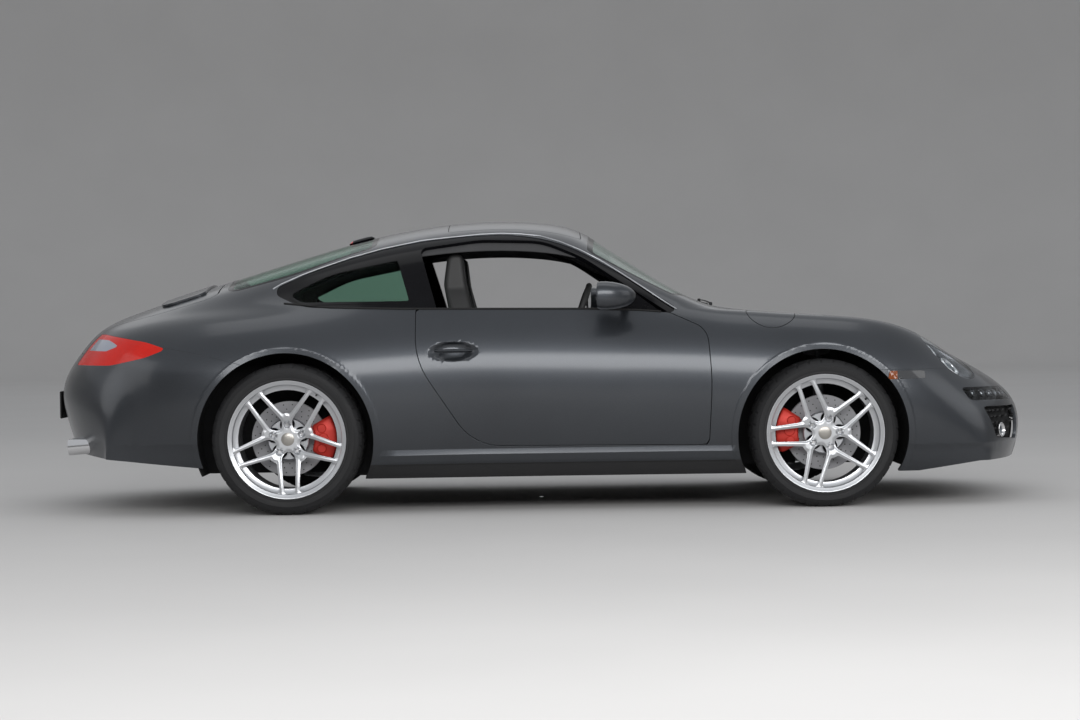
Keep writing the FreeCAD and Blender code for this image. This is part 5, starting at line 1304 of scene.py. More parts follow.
@dataclass
class Stage:
    """Floor, backdrop, lights and the camera at the photograph's place."""

    camera_at: tuple = (-.0396, -11.0, .8306)
    yaw: float = -.00384
    pitch: float = -.01672
    roll: float = .01467
    focal_px: float = 2326.43
    image_width: float = 1080.0
    sensor: float = 36.0
    floor_radius: float = 26.0
    wall_bend: float = 6.0

    def build(self) -> None:
        """Makes the stage."""
        self.camera()
        self.floor()
        self.lights()
        view = bpy.context.scene.view_settings
        view.view_transform = "Standard"

    def camera(self) -> None:
        """The camera as fitted to the photograph."""
        data = bpy.data.cameras.new("camera")
        data.sensor_width = self.sensor
        data.lens = self.focal_px * self.sensor / self.image_width
        data.clip_end = 100
        camera = bpy.data.objects.new("camera", data)
        bpy.context.scene.collection.objects.link(camera)
        turn = (Matrix.Rotation(self.yaw, 3, "Z") @ Matrix.Rotation(self.pitch, 3, "X")
                @ Matrix.Rotation(self.roll, 3, "Y"))
        right, ahead, up = turn.col[0], turn.col[1], turn.col[2]
        axes = Matrix((right, up, -ahead)).transposed()
        camera.matrix_world = Matrix.Translation(self.camera_at) @ axes.to_4x4()
        bpy.context.scene.camera = camera

    def floor(self) -> None:
        """A round pale floor that turns up into a low wall all round."""
        flat, bend = self.floor_radius, self.wall_bend
        profile = [(.01, 0.0), (8.0, 0.0), (flat, 0.0)]
        profile += [(flat + bend * math.sin(math.radians(a)),
                     bend - bend * math.cos(math.radians(a))) for a in range(6, 91, 6)]
        profile += [(flat + bend, 2 * bend)]
        mould = Mould()
        mould.rings([[(r * math.cos(a), r * math.sin(a), z) for r, z in profile]
                     for a in turns(96)], closed=False, caps=False, loop=True)
        mesh = bpy.data.meshes.new("floor")
        mesh.from_pydata(mould.points, [], mould.faces)
        mesh.shade_smooth()
        pale = Finish("pale_floor", (.60, .59, .58), rough=.8, mottle=.02, blotch=.7)
        mesh.materials.append(pale.material())
        floor = bpy.data.objects.new("floor", mesh)
        bpy.context.scene.collection.objects.link(floor)

    def lights(self) -> None:
        """Soft boxes over and beside the car, and an even world."""
        rows = (
            ("key", (1.2, -7.5, 3.0), (0, 0, .45), (8.0, 2.2), 300),
            ("top", (0, 0, 5.2), (0, 0, 0), (5.5, 2.4), 30),
            ("back", (-1, 6.0, 3.8), (0, 0, .7), (7.0, 2.0), 12),
            ("front", (8.5, -3.0, 3.4), (1, 0, .5), (5.0, 4.0), 55),
            ("rear", (-8.5, -3.0, 3.4), (-1, 0, .5), (5.0, 4.0), 55),
        )
        for name, place, target, sides, power in rows:
            data = bpy.data.lights.new(name, "AREA")
            data.shape = "RECTANGLE"
            data.size, data.size_y = sides
            data.energy = power
            lamp = bpy.data.objects.new(name, data)
            lamp.location = place
            way = Vector(target) - Vector(place)
            lamp.rotation_euler = way.to_track_quat("-Z", "Y").to_euler()
            lamp.visible_camera = False
            bpy.context.scene.collection.objects.link(lamp)
        world = bpy.data.worlds.new("studio")
        world.use_nodes = True
        feed(world.node_tree, world.node_tree.nodes["Background"], Color=(.78, .80, .83, 1),
             Strength=.62)
        bpy.context.scene.world = world


# Wheels


def capsule(x: Array, z: Array, start: tuple, end: tuple, wide: float, narrow: float) -> Array:
    """Depth inside a bar with round ends that tapers from wide to narrow."""
    along = np.array(end) - np.array(start)
    share = (x - start[0]) * along[0] + (z - start[1]) * along[1]
    share = np.clip(share / (along @ along), 0, 1)
    away = np.hypot(x - start[0] - share * along[0], z - start[1] - share * along[1])
    return wide + share * (narrow - wide) - away


def polar(reach: float, angle: float) -> tuple:
    """Point at a reach and an angle."""
    return reach * math.cos(angle), reach * math.sin(angle)


@dataclass(frozen=True)
class WheelSizes:
    """Sizes that the four wheels share."""

    lip: float = .2588
    ring: float = .2385
    seat: float = .241
    barrel: float = .228
    hub: float = .050
    hub_wall: float = .028
    bolt_circle: float = .065
    bolt_seat: float = .0175
    fork: float = math.radians(28.2)
    spoke: float = .0078
    spoke_depth: float = .020
    blend: float = .0055
    cap: float = .0335
    disc: float = .165
    disc_wall: float = .028
    hat: float = .0925
    tread_steps: int = 288
    tread_pitch: int = 8
    tread_cut: float = .0048
    tread_lean: float = 1.1
    edge_set: float = .006
    disc_set: float = .042
    spoke_round: float = .0045
    spoke_roll: float = .0100
    seat_sunk: float = .013
    face_steps: int = 240
    holes: tuple = (.110, .130, .150)
    hole: float = .0028


@dataclass
class Wheel:
    """A wheel with tyre, disc and caliper, made in the right wheel's own frame, -Y outwards."""

    corner: Corner
    end: str
    side: Side
    sizes: WheelSizes = WheelSizes()

    @property
    def edge(self) -> float:
        """Middle plane to the rim's edge."""
        return self.corner.width / 2 - self.sizes.edge_set

    @property
    def disc_at(self) -> float:
        """Middle plane to the brake disc's outer face."""
        return self.corner.face + self.sizes.disc_set

    @property
    def label(self) -> str:
        """End and side, as in the nodes' names."""
        return f"{self.end}_{self.side.label}"

    def place(self) -> Matrix:
        """From the wheel's own frame to the car's."""
        turn = Matrix.Rotation(math.pi if self.side is Side.LEFT else 0, 4, "Z")
        middle = (self.corner.axle + CENTRE, self.side.value * self.corner.middle,
                  self.corner.tyre)
        return Matrix.Translation(middle) @ turn

    def build(self) -> None:
        """Makes the wheel's pieces."""
        body = f"wheel_{self.label}"
        self.tyre(body)
        self.face(body)
        self.rim(body)
        self.disc(body)

    def tyre_profile(self) -> list:
        """The tyre's section: radius, place across, and 1 where the cross grooves cut in."""
        s, half, radius = self.sizes, self.corner.width / 2, self.corner.tyre
        wall = [(s.seat, self.edge - .012, 0), (s.lip + .0004, self.edge - .012, 0),
                (s.lip + .0004, self.edge + .0015, 0), (s.lip + .004, self.edge + .0052, 0),
                (.2700, half - .0012, 0), (.2712, half - .0024, 0), (.2790, half - .0006, 0),
                (.2930, half, 0), (.2942, half - .0012, 0), (radius - .024, half - .0050, 0),
                (radius - .0165, half - .0105, 0), (radius - .0155, half - .0120, 1),
                (radius - .008, half - .0190, 1), (radius - .003, half - .0290, 1)]
        ribs = [(radius, half - .044, 1)]
        for share in (.27, .095, -.095, -.27):
            middle = share * self.corner.width
            ribs += [(radius, middle + .0060, 1), (radius - .007, middle + .0040, 0),
                     (radius - .007, middle - .0040, 0), (radius, middle - .0060, 1)]
        ribs += [(radius, -half + .044, 1)]
        return wall + ribs + [(r, -y, cut) for r, y, cut in reversed(wall)]

    def tyre(self, body: str) -> None:
        """Tyre with round and cross grooves."""
        s, profile, mould = self.sizes, self.tyre_profile(), Mould()
        rings = []
        for k, angle in enumerate(turns(s.tread_steps)):
            ring = []
            for radius, y, cut in profile:
                shift = 3 if abs(y) < .04 else (0 if y < 0 else 5)
                deep = s.tread_cut if cut and (k + shift) % s.tread_pitch == 0 else 0.0
                x, z = polar(radius - deep, angle + s.tread_lean * (abs(y) - .05))
                ring.append((x, y, z))
            rings.append(ring)
        mould.rings(rings, caps=False, loop=True)
        mould.turned(self.place())
        mould.piece(f"tyre_{self.label}_tread", [TYRE_RUBBER], body, "rubber_tyre",
                    [f"tyre_{self.label}"], sharp=28)

    def field(self, x: Array, z: Array) -> Array:
        """Depth inside the wheel's face: hub, webs, forked spokes and ring, blended."""
        s = self.sizes
        reach = np.hypot(x, z)
        parts = [s.hub - reach, reach - s.ring]
        for arm in range(5):
            bolt = math.radians(self.corner.twist + 72 * arm)
            parts.append(capsule(x, z, polar(.045, bolt), polar(.097, bolt), .0235, .0165))
            for way in (-1, 1):
                parts.append(capsule(x, z, polar(.086, bolt + way * .10),
                                     polar(s.ring + .004, bolt + way * s.fork), .0100, s.spoke))
        return s.blend * np.log(np.exp(np.array(parts) / s.blend).sum(0))

    def dish(self, reach: Array) -> Array:
        """Place across of the face's front at a reach from the middle."""
        hub, rim = self.corner.face - self.sizes.hub_wall, -self.edge + .011
        share = np.clip((reach - .066) / (self.sizes.ring - .066), 0, 1)
        return hub + (rim - hub) * (1 - (1 - share) ** 1.8)

    def face(self, body: str) -> None:
        """Forked spokes with rounded edges and sunk bolt seats."""
        s = self.sizes
        radii = np.concatenate([np.arange(.028, .106, .0030), np.arange(.106, .2405, .0062),
                                [.2412]])
        angles = np.arange(s.face_steps) * 2 * math.pi / s.face_steps
        reach, angle = np.meshgrid(radii, angles, indexing="ij")
        points = np.stack([reach * np.cos(angle), 0 * reach, reach * np.sin(angle)], 2)
        points = points.reshape(-1, 3)
        index = np.arange(len(points)).reshape(reach.shape)
        a, b = index[:-1].ravel(), index[1:].ravel()
        c, d = np.roll(index, -1, 1)[1:].ravel(), np.roll(index, -1, 1)[:-1].ravel()
        flat = Sheet(points, np.tile((0.0, -1.0, 0.0), (len(points), 1)), split_cells(a, b, c, d))
        inside = flat.split(lambda t: self.field(t.points[:, 0], t.points[:, 2]))[0]
        x, _, z = inside.points.T
        out = self.dish(np.hypot(x, z))
        out += s.spoke_round * (1 - smooth_step(self.field(x, z), 0, s.spoke_roll))
        for arm in range(5):
            u, w = polar(s.bolt_circle, math.radians(self.corner.twist + 72 * arm))
            out += s.seat_sunk * (1 - smooth_step(np.hypot(x - u, z - w), .0110, s.bolt_seat))
        shaped = np.stack([x, out, z], 1)
        sheet = Sheet(shaped, vertex_normals(shaped, inside.triangles), inside.triangles)
        made = shell(sheet, s.spoke_depth, .0016)
        turn = np.array(self.place())
        made = Sheet(made.points @ turn[:3, :3].T + turn[:3, 3], made.normals @ turn[:3, :3].T,
                     made.triangles)
        sheet_piece(f"rim_{self.label}_spokes", made, [SILVER], body,
                    [f"rim_{self.label}"])

    def rim(self, body: str) -> None:
        """Lip, barrel, bolts, cap and valve."""
        s, edge, mould = self.sizes, self.edge, Mould()
        mould.lathe([(s.lip - .0008, -edge), (s.lip, -edge + .0008), (s.lip, -edge + .0115),
                     (s.seat, -edge + .0115), (s.seat, edge - .0115), (s.lip, edge - .0115),
                     (s.lip, edge), (s.lip - .006, edge), (s.barrel - .004, edge - .018),
                     (s.barrel - .004, -edge + .078), (.2165, -edge + .060), (.2165, -edge + .040),
                     (.2300, -edge + .036), (.2375, -edge + .030), (.2380, -edge + .013),
                     (.2405, -edge + .0075), (.2540, -edge + .0015), (.2565, -edge)], steps=96)
        hub = self.corner.face - s.hub_wall
        for arm in range(5):
            u, w = polar(s.bolt_circle, math.radians(self.corner.twist + 72 * arm))
            mould.on(1).lathe([(TIP, hub + .003), (.0062, hub + .003), (.0068, hub + .0036),
                               (.0105, hub + .0070), (.0112, hub + .016), (TIP, hub + .016)],
                              (u, 0, w), steps=6)
            mould.lathe([(.0114, hub + .010), (.0125, hub + .011), (.0125, hub + .016),
                         (.0114, hub + .016)],
                        (u, 0, w), steps=20)
        mould.on(2).lathe([(TIP, hub - .0042), (.012, hub - .0038), (.024, hub - .0022),
                           (.031, hub + .0010), (s.cap - .0006, hub + .0045),
                           (s.cap - .0006, hub + .020), (TIP, hub + .020)], steps=48)
        mould.on(0).lathe([(s.cap, hub + .0035), (s.cap + .006, hub + .0030),
                           (s.cap + .006, hub + .026), (s.cap, hub + .026)], steps=48)
        mould.mark = 3
        u, w = polar(.2335, math.radians(self.corner.twist + 36))
        mould.tube([(u, -edge + .008, w), (u * .985, -edge + .028, w * .985),
                    (u, -edge + .045, w)],
                   [.0036, .0038, .0052], steps=10)
        mould.turned(self.place())
        mould.piece(f"rim_{self.label}_barrel", [SILVER, CHROME, CAP_METAL, BLACK_PLASTIC], body,
                    "rim_silver")

    def disc(self, body: str) -> None:
        """Drilled brake disc with its bell; its dark colour and the dark patches at its holes are
        painted shade.
        """
        s, plane, out, mould = self.sizes, self.corner.face, self.disc_at, Mould()
        mould.on(1).lathe([(.027, plane), (.088, plane), (s.hat, plane + .0045),
                           (s.hat, out + .001), (.080, out + .001), (.080, plane + .008),
                           (.027, plane + .008)], steps=64)
        mould.mark = 0
        back = out + s.disc_wall
        mould.lathe([(s.hat + .004, out), (s.disc - .001, out), (s.disc, out + .001),
                     (s.disc, out + .010), (s.disc - .010, out + .010),
                     (s.disc - .010, back - .010), (s.disc, back - .010), (s.disc, back - .001),
                     (s.disc - .001, back), (.080, back), (.080, out)], steps=72)
        # Flat near-black patches of painted shade stand in for the drilled holes.
        mould.mark = 2
        for arc in range(24):
            for row, reach in enumerate(s.holes):
                u, w = polar(reach, math.radians(15 * arc + 4.5 * row))
                ring = [(u + s.hole * math.cos(t), out - .0003, w + s.hole * math.sin(t))
                        for t in (math.radians(45 * k) for k in range(8))]
                mould.add(ring, [tuple(range(8))])
        mould.turned(self.place())
        mould.piece(f"brake_disc_{self.label}_drilled", [SHADED_DISC_STEEL, SATIN_METAL, SOOT_AND_HOLE_SHADE], body,
                    "disc_steel", [f"brake_disc_{self.label}"])

    def caliper(self, mould: Mould) -> None:
        """Adds the wheel's brake caliper to a mould."""
        out = self.disc_at
        profile = [(.1135, out - .030), (.120, out - .0355), (.200, out - .0355),
                   (.210, out - .030), (.2150, out - .018), (.2155, out + .046),
                   (.205, out + .062), (.1135, out + .062), (.1135, out + .034),
                   (.171, out + .034), (.171, out - .006), (.1135, out - .006)]
        middle = math.radians(0 if self.corner.caliper_side > 0 else 176)
        since, rings = len(mould.points), []
        for share in (-1, -.96, -.86, -.4, -.34, 0, .34, .4, .86, .96, 1):
            waist = .5 * abs(share) ** 10
            ring = []
            for reach, y in profile:
                reach += (.158 - reach) * waist * .45
                y += (out + .012 - y) * waist * .5 if not out - .007 < y < out + .035 else 0
                x, z = polar(reach, middle + share * math.radians(29))
                ring.append((x, y, z))
            rings.append(ring)
        mould.rings(rings)
        for share, radius in ((-.62, .021), (0, .025), (.62, .021)):
            x, z = polar(.152, middle + share * math.radians(27))
            mould.lathe([(TIP, out - .0395), (radius - .004, out - .0390), (radius, out - .034),
                         (radius, out - .030), (TIP, out - .030)], (x, 0, z), steps=24)
        mould.turned(self.place(), since)


class Wheels:
    """The four wheels and their calipers."""

    def build(self) -> None:
        """Makes the wheels, then the calipers on the bodies that carry them."""
        red = [RED_CALIPER]
        rear = Mould()
        for corner, end in ((FRONT, "front"), (REAR, "rear")):
            for side in Side:
                wheel = Wheel(corner, end, side)
                wheel.build()
                if end == "rear":
                    wheel.caliper(rear)
                    continue
                mould = Mould()
                wheel.caliper(mould)
                mould.piece(f"caliper_{side.label}_housing", red, f"knuckle_{side.label}",
                            "caliper_red", [f"caliper_front_{side.label}"])
        rear.piece("rear_caliper_housings", red, "root", "caliper_red", ["calipers_rear"])


# Lamps, grilles and outside trim


def rim_loop(sheet: Sheet, centre: Vector, long_way: Vector, wide: Vector) -> Array:
    """Edge points of a round sheet in order round its centre."""
    points = sheet.points[np.unique(sheet.rim())]
    away = points - np.array(centre)
    return points[np.argsort(np.arctan2(away @ np.array(wide), away @ np.array(long_way)))]


@dataclass
class Headlamps:
    """Oval headlamps: clear lens, bowl darkened as painted reflection, projector and reflector."""

    skin: BodySkin
    lens_wall: float = .0035
    depth: float = .090
    projector: tuple = (.058, .052)
    reflector: tuple = (-.064, .041)
    steps: tuple = ((0, .990), (.07, .965), (.12, .950), (.35, .925), (.7, .86), (1, .74))

    def build(self) -> None:
        """Makes lenses and bowls on both sides."""
        sheet = lowered(self.skin.panels["headlamps"], .0012)
        sheet_piece("headlamp_lenses", shell(sheet, self.lens_wall), [CLEAR_LENS], "root",
                    ["headlamps"])
        mould = Mould()
        for side in Side:
            self.bowl(mould, side)
        mould.piece("headlamp_bowls", [LAMP_BOWL, CHROME, PROJECTOR_GLASS, BLACK_GLOSS], "root",
                    "headlamp")

    def bowl(self, mould: Mould, side: Side) -> None:
        """Adds one bowl with what stands in it."""
        centre, long_way, wide, axis = lamp_frame(side)
        loop = rim_loop(one_side(self.skin.panels["headlamps"], side), centre, long_way, wide)[::2]
        rings = []
        for share, scale in self.steps:
            ring = []
            for point in loop:
                away = Vector(point) - centre
                up = away.dot(axis)
                flat = away - axis * up
                height = (up - .006) * (1 - share) - self.depth * share
                ring.append(tuple(centre + flat * scale + axis * height))
            rings.append(ring)
        mould.on(3).rings(rings[:3], caps=False)
        mould.on(0).rings(rings[2:], caps=False)
        mould.add([rings[-1][k] for k in range(len(loop))], [tuple(range(len(loop)))])
        for (offset, radius), sunk in ((self.projector, .024), (self.reflector, .020)):
            foot = centre + long_way * offset
            heights = []
            for a in turns(12):
                out = (long_way * math.cos(a) + wide * math.sin(a)) * (radius + .006)
                hit = self.skin.at(foot + out + axis * .3, -axis)[0]
                heights.append((hit - centre).dot(axis))
            front = sunk - min(heights)
            back = -self.depth + .002
            mould.on(1).lathe([(radius + .004, back), (radius + .004, -front - .004),
                               (radius, -front), (radius - .006, -front - .002),
                               (radius - .010, -front - .012), (radius - .012, back)],
                              foot, axis, steps=40)
            mould.mark = 2
            dome = [(radius * .72 * math.sin(math.radians(a)),
                     -front - .016 + .020 * math.cos(math.radians(a)))
                    for a in range(0, 91, 15)]
            dome[0] = (TIP, dome[0][1])
            mould.lathe(dome + [(radius * .72, back), (TIP, back)], foot, axis, steps=36)
            mould.on(3).lathe([(radius * .74, -front - .015), (radius - .011, -front - .013),
                               (radius - .011, back), (radius * .74, back)], foot, axis, steps=36)


@dataclass
class TailLamps:
    """Wrap-round tail lamps: red lens with a pale wedge, ribbed bowl behind."""

    skin: BodySkin
    wall: float = .004
    rows: tuple = ((.700, -2.00, -1.80), (.716, -2.00, -1.78), (.684, -2.00, -1.83))
    wedge: Outline = Outline(((-1.934, .7470, .004), (-1.990, .7730, .040), (-2.140, .784, .006),
                              (-2.140, .7280, .006), (-2.000, .7240, .040)))

    def build(self) -> None:
        """Makes lens and bowl."""
        sheet, marks = marked(lowered(self.skin.panels["tail_lamps"], .001),
                              in_side_view(self.wedge, 0, .480))
        made, marks = marked_shell(sheet, marks, self.wall)
        sheet_piece("tail_lamp_lenses", made, [WHITE_LENS, RED_LENS], "root",
                    ["tail_lamps"], marks)
        back = lowered(self.skin.panels["tail_lamps"], .017)
        sheet_piece("tail_lamp_bowls", shell(back, .006), [LAMP_BOWL_RED], "root")
        mould = Mould()
        for side in Side:
            for row, (z, x0, x1) in enumerate(self.rows):
                for k in range(9):
                    x = x0 + (x1 - x0) * k / 8 + .006 * (row % 2)
                    place, normal = self.skin.beside(x, z, side)
                    mould.lathe([(TIP, -.015), (.0062, -.015), (.0060, -.0100), (.0035, -.0080),
                                 (TIP, -.0075)], place, normal, steps=10)
        mould.piece("tail_lamp_lights", [RED_LIGHT], "root", "tail_lamp")


@dataclass
class BumperLamps:
    """Lamp bars at the front corners, side markers, and the brake lamp on the roof."""

    skin: BodySkin
    wall: float = .0035
    lights: int = 6
    first_light: float = .475
    light_pitch: float = .046
    marker_split: float = 1.492
    brake_lamp: Outline = Outline(((-.836, .064, .022), (-.954, .064, .030), (-.954, -.064, .030),
                                   (-.836, -.064, .022)))
    pod_height: float = .0165
    pod_edge: float = .006
    pod_round: float = .02

    def build(self) -> None:
        """Makes all three."""
        self.bars()
        self.markers()
        self.high_lamp()

    def bars(self) -> None:
        """Clear bars with a row of lights over a dark bowl."""
        panel = self.skin.panels["lamp_bars"]
        sheet_piece("bumper_lamp_lenses", shell(lowered(panel, .0008), self.wall), [CLEAR_LENS],
                    "root", ["bumper_lamps"])
        sheet_piece("bumper_lamp_bowls", shell(lowered(panel, .026), .004), [BLACK_GLOSS], "root")
        mould = Mould()
        for side in Side:
            for k in range(self.lights):
                y = side.value * (self.first_light + self.light_pitch * k)
                place, normal = self.skin.at((3, y, .480 + .002 * k), (-1, 0, 0))
                mould.on(0).lathe([(TIP, -.023), (.0165, -.023), (.0175, -.0085), (.0155, -.0075),
                                   (.0110, -.0180), (TIP, -.0190)], place, normal, steps=20)
                mould.on(1).lathe([(TIP, -.0120), (.0050, -.0130), (.0068, -.0175), (TIP, -.0175)],
                                  place, normal, steps=16)
        mould.piece("bumper_lamp_lights", [LAMP_BOWL, WHITE_LIGHT], "root", "headlamp")

    def markers(self) -> None:
        """Side markers: amber behind, clear ahead."""
        sheet, marks = marked(lowered(self.skin.panels["markers"], .0008),
                              lambda s: self.marker_split + CENTRE - s.points[:, 0])
        made, marks = marked_shell(sheet, marks, .005)
        sheet_piece("side_marker_lenses", made, [AMBER_LENS, SMOKED_LENS], "root", (),
                    marks)

    def high_lamp(self) -> None:
        """Low pod across the roof's rear edge, red towards the rear."""
        pod = self.skin.whole.split(in_top_view(self.brake_lamp, 1.1))[0]
        away = np.minimum(self.brake_lamp.depth(*pod.points[:, :2].T), self.pod_round)
        points = pod.points.copy()
        rise = np.sin(np.clip(away / self.pod_round, 0, 1) * math.pi / 2)
        points[:, 2] += self.pod_edge + (self.pod_height - self.pod_edge) * rise
        pod = Sheet(points, vertex_normals(points, pod.triangles), pod.triangles)
        pod, marks = marked(pod, lambda s: -.936 + CENTRE - s.points[:, 0])
        made, marks = marked_shell(pod, marks, .015)
        sheet_piece("high_brake_lamp_pod", made, [RED_LENS, BLACK_GLOSS], "root",
                    ["high_brake_lamp"], marks)


@dataclass
class Grilles:
    """Slats and dark ducts inside the front openings."""

    skin: BodySkin
    pitch: float = .027
    slat: float = .007
    inset: float = .0075
    thickness: float = .016
    duct: float = .030
    fog_lamp: tuple = (.640, .318)

    def build(self) -> None:
        """Makes slats, meshes and ducts."""
        slats, ducts = [], []
        for name, low, high in (("corner_intakes", .296, .410), ("centre_intake", .256, .340)):
            panel = self.skin.panels[name]
            for z in np.arange(low, high - 1e-6, self.pitch):
                strip = panel.split(in_box((0, -1, z), (3, 1, z + self.slat)))[0]
                slats.append(shell(lowered(strip, self.inset), self.thickness, .0010))
            ducts.append(shell(lowered(panel, self.duct), .004))
        rows = ((slats, "intake_slats", BLACK_PLASTIC, ["intake_grilles"]),
                (ducts, "intake_ducts", MESH, []))
        for sheets, name, finish, nodes in rows:
            joined = sheets[0]
            for sheet in sheets[1:]:
                joined = joined.joined(sheet)
            sheet_piece(name, joined, [finish], "root", nodes)
        mould = Mould()
        for side in Side:
            y, z = self.fog_lamp
            place, normal = self.skin.at((3, side.value * y, z), (-1, 0, 0))
            mould.on(0).lathe([(TIP, -.026), (.030, -.026), (.032, -.006), (.029, -.004),
                               (.022, -.018), (TIP, -.020)], place, normal, steps=32)
            mould.on(1).lathe([(TIP, -.008), (.015, -.0095), (.024, -.014), (.024, -.018),
                               (TIP, -.018)],
                              place, normal, steps=28)
        mould.piece("fog_lamps", [CHROME, PROJECTOR_GLASS], "root", "headlamp")


@dataclass
class OutsideTrim:
    """Mirrors, handles, wipers, window lines, spoiler, plate holder, tips and the fuel filler."""

    skin: BodySkin
    spoiler: Outline = Outline(symmetric([(-1.590, 0, 0), (-1.590, -.380, .040),
                                          (-1.790, -.400, .060), (-1.790, 0, 0)]))
    slot_pitch: float = .017
    grip_reach: float = .104
    wiper_rows: tuple = (((.716, -.380), (.652, -.480), (.694, -.030)),
                         ((.730, .060), (.694, .020), (.660, .460)))
    plate: tuple = (.262, .413, .539)
    plate_front: float = -2.2842
    tips: tuple = (.490, .585)
    tray: tuple = (-1.596, -1.540, .338)
    mirror_arm: tuple = ((.318, .724, .910), (.312, .780, .911), (.296, .835, .916))
    mirror_front: float = .190
    mirror_depth: float = .164
    mirror_at: tuple = (.886, .938)
    mirror_half: tuple = (.084, .063)
    sail: Outline = Outline(((.262, .868, .006), (.455, .864, .006), (.452, .876, .010),
                             (.330, .968, .012)))
    rail: tuple = ((-1.259, .991), (-1.223, 1.013), (-1.133, 1.052), (-1.044, 1.084),
                   (-.909, 1.129), (-.774, 1.165), (-.595, 1.201), (-.461, 1.214), (-.327, 1.226),
                   (-.237, 1.229), (-.148, 1.225), (-.059, 1.215), (.030, 1.187), (.119, 1.148),
                   (.207, 1.100), (.296, 1.042), (.385, .981), (.473, .919), (.562, .858))
    belt: tuple = ((-1.200, .925), (-.990, .903), (-.681, .8935), (-.417, .890), (.156, .882),
                   (.377, .873), (.500, .862))

    def build(self) -> None:
        """Makes all of it."""
        for side in Side:
            self.mirror(side)
            self.handle(side)
            self.lines(side)
        self.wipers()
        self.rear_spoiler()
        self.lid_slots()
        self.plate_holder()
        self.exhaust()
        self.filler()

    def lines(self, side: Side) -> None:
        """Fine line along the roof rail and seal along the belt."""
        rows = (("rail", self.rail, .0034, SATIN_METAL), ("belt", self.belt, .0045, RUBBER_SEAL))
        for name, places, radius, finish in rows:
            path = []
            for (x0, z0), (x1, z1) in zip(places, places[1:]):
                for k in range(4):
                    x, z = x0 + (x1 - x0) * k / 4, z0 + (z1 - z0) * k / 4
                    place, normal = self.skin.beside(x, z, side)
                    path.append(place + normal * .0004)
            mould = Mould()
            mould.tube(path, radius, steps=8)
            mould.piece(f"{name}_line_{side.label}", [finish], "root", "black_trim")

    def mirror(self, side: Side) -> None:
        """Door mirror: rounded housing, glass, arm and sail."""
        mould = Mould()
        middle, half = self.mirror_at, self.mirror_half
        rings = []
        for share in (0, .02, .06, .2, .4, .6, .75, .86, .94, .985):
            scale = (1 - share ** 2.4) ** .5 * (.93 + .07 * min(1, share * 12))
            x = self.mirror_front + self.mirror_depth * share + CENTRE
            ring = []
            for a in turns(40):
                c, s = polar(1, a)
                y = middle[0] - .026 * share + half[0] * scale * math.copysign(abs(c) ** .72, c)
                z = middle[1] - .004 * share + half[1] * scale * math.copysign(abs(s) ** .78, s)
                ring.append((x + .012 * (y - middle[0]) / half[0] * (share < .1) * -1,
                             side.value * y, z))
            rings.append(ring)
        mould.rings(rings, caps=False)
        mould.add(rings[-1], [tuple(range(40))])
        mouth, centre = np.array(rings[0]), np.mean(rings[0], 0)
        glass = centre + (mouth - centre) * .93 + (.006, 0, 0)
        mould.on(1).rings([mouth, glass], caps=False)
        mould.on(2).add(glass, [tuple(range(40))])
        mould.on(0).tube([(x + CENTRE, side.value * y, z) for x, y, z in self.mirror_arm],
                         [.020, .018, .021], steps=16, flat=.62)
        mould.mark = 1
        mould.rings([[(x, side.value * y, z) for x, z in self.sail.line()]
                     for y in (.7215, .7335)])
        mould.piece(f"mirror_{side.label}_housing", [PAINT, BLACK_GLOSS, MIRROR_GLASS],
                    f"door_{side.label}", "body_paint", [f"mirror_{side.label}"])

    def handle(self, side: Side) -> None:
        """Grip bar across the bowl of the door handle."""
        mould = Mould()
        path, radii = [], []
        for k in range(17):
            share = k / 8 - 1
            x = HANDLE_AT[0] + self.grip_reach * share
            place, _ = self.skin.beside(x, HANDLE_AT[1] + .055, side)
            path.append(Vector((x + CENTRE, place.y - side.value * (.004 + .010 * abs(share) ** 6),
                                HANDLE_AT[1] + .004)))
            radii.append(.0135 - .0035 * abs(share) ** 4)
        mould.tube(path, radii, steps=16, flat=.55)
        mould.piece(f"door_handle_{side.label}", [PAINT], f"door_{side.label}", "body_paint")

    def wipers(self) -> None:
        """Arms on their posts and blades along the foot of the screen."""
        def over(start: Sequence, end: Sequence, share: float, rise: float) -> Vector:
            x, y = (a + (b - a) * share for a, b in zip(start, end))
            return self.skin.over(x, y)[0] + Vector((0, 0, rise))

        mould = Mould()
        for pivot, near, far in self.wiper_rows:
            middle = [(a + b) / 2 for a, b in zip(near, far)]
            mould.on(0).lathe([(TIP, -.002), (.0075, -.002), (.0078, .010), (.0055, .0135),
                               (TIP, .014)],
                              over(pivot, middle, 0, 0), (0, 0, 1), steps=20)
            shares = np.linspace(0, 1, 9)
            mould.tube([over(pivot, middle, t, .009 + .004 * math.sin(math.pi * t))
                        for t in shares], [.0052 - .0018 * t for t in shares], steps=10, flat=.6)
            mould.on(1).tube([over(near, far, t, .0062) for t in np.linspace(0, 1, 17)], .0036,
                             steps=8, flat=1.3)
            mould.lathe([(TIP, .004), (.0058, .004), (.0058, .0135), (TIP, .0145)],
                        over(middle, middle, 0, 0), (0, 0, 1), steps=12)
        mould.piece("wiper_arms", [BLACK_PLASTIC, RUBBER_SEAL], "root", "black_trim", ["wipers"])

    def rear_spoiler(self) -> None:
        """Spoiler blade with its louvres."""
        blade = self.skin.whole.split(in_top_view(self.spoiler, .8))[0]
        blade = slotted(blade, np.arange(-1.745, -1.611, self.slot_pitch))
        blade = Sheet(blade.points + (-.003, 0, .0118), blade.normals, blade.triangles)
        sheet_piece("spoiler_blade", shell(blade, .0105, .0016), [PAINT], "engine_lid",
                    ["rear_spoiler"])

    def lid_slots(self) -> None:
        """Black louvres under the slots of the engine lid."""
        x0, x1, half = self.tray
        tray = self.skin.whole.split(in_box((x0 + CENTRE, -half, .8), (x1 + CENTRE, half, 1.2)))[0]
        sheet_piece("engine_lid_tray", shell(lowered(tray, .018), .004), [MESH], "engine_lid")

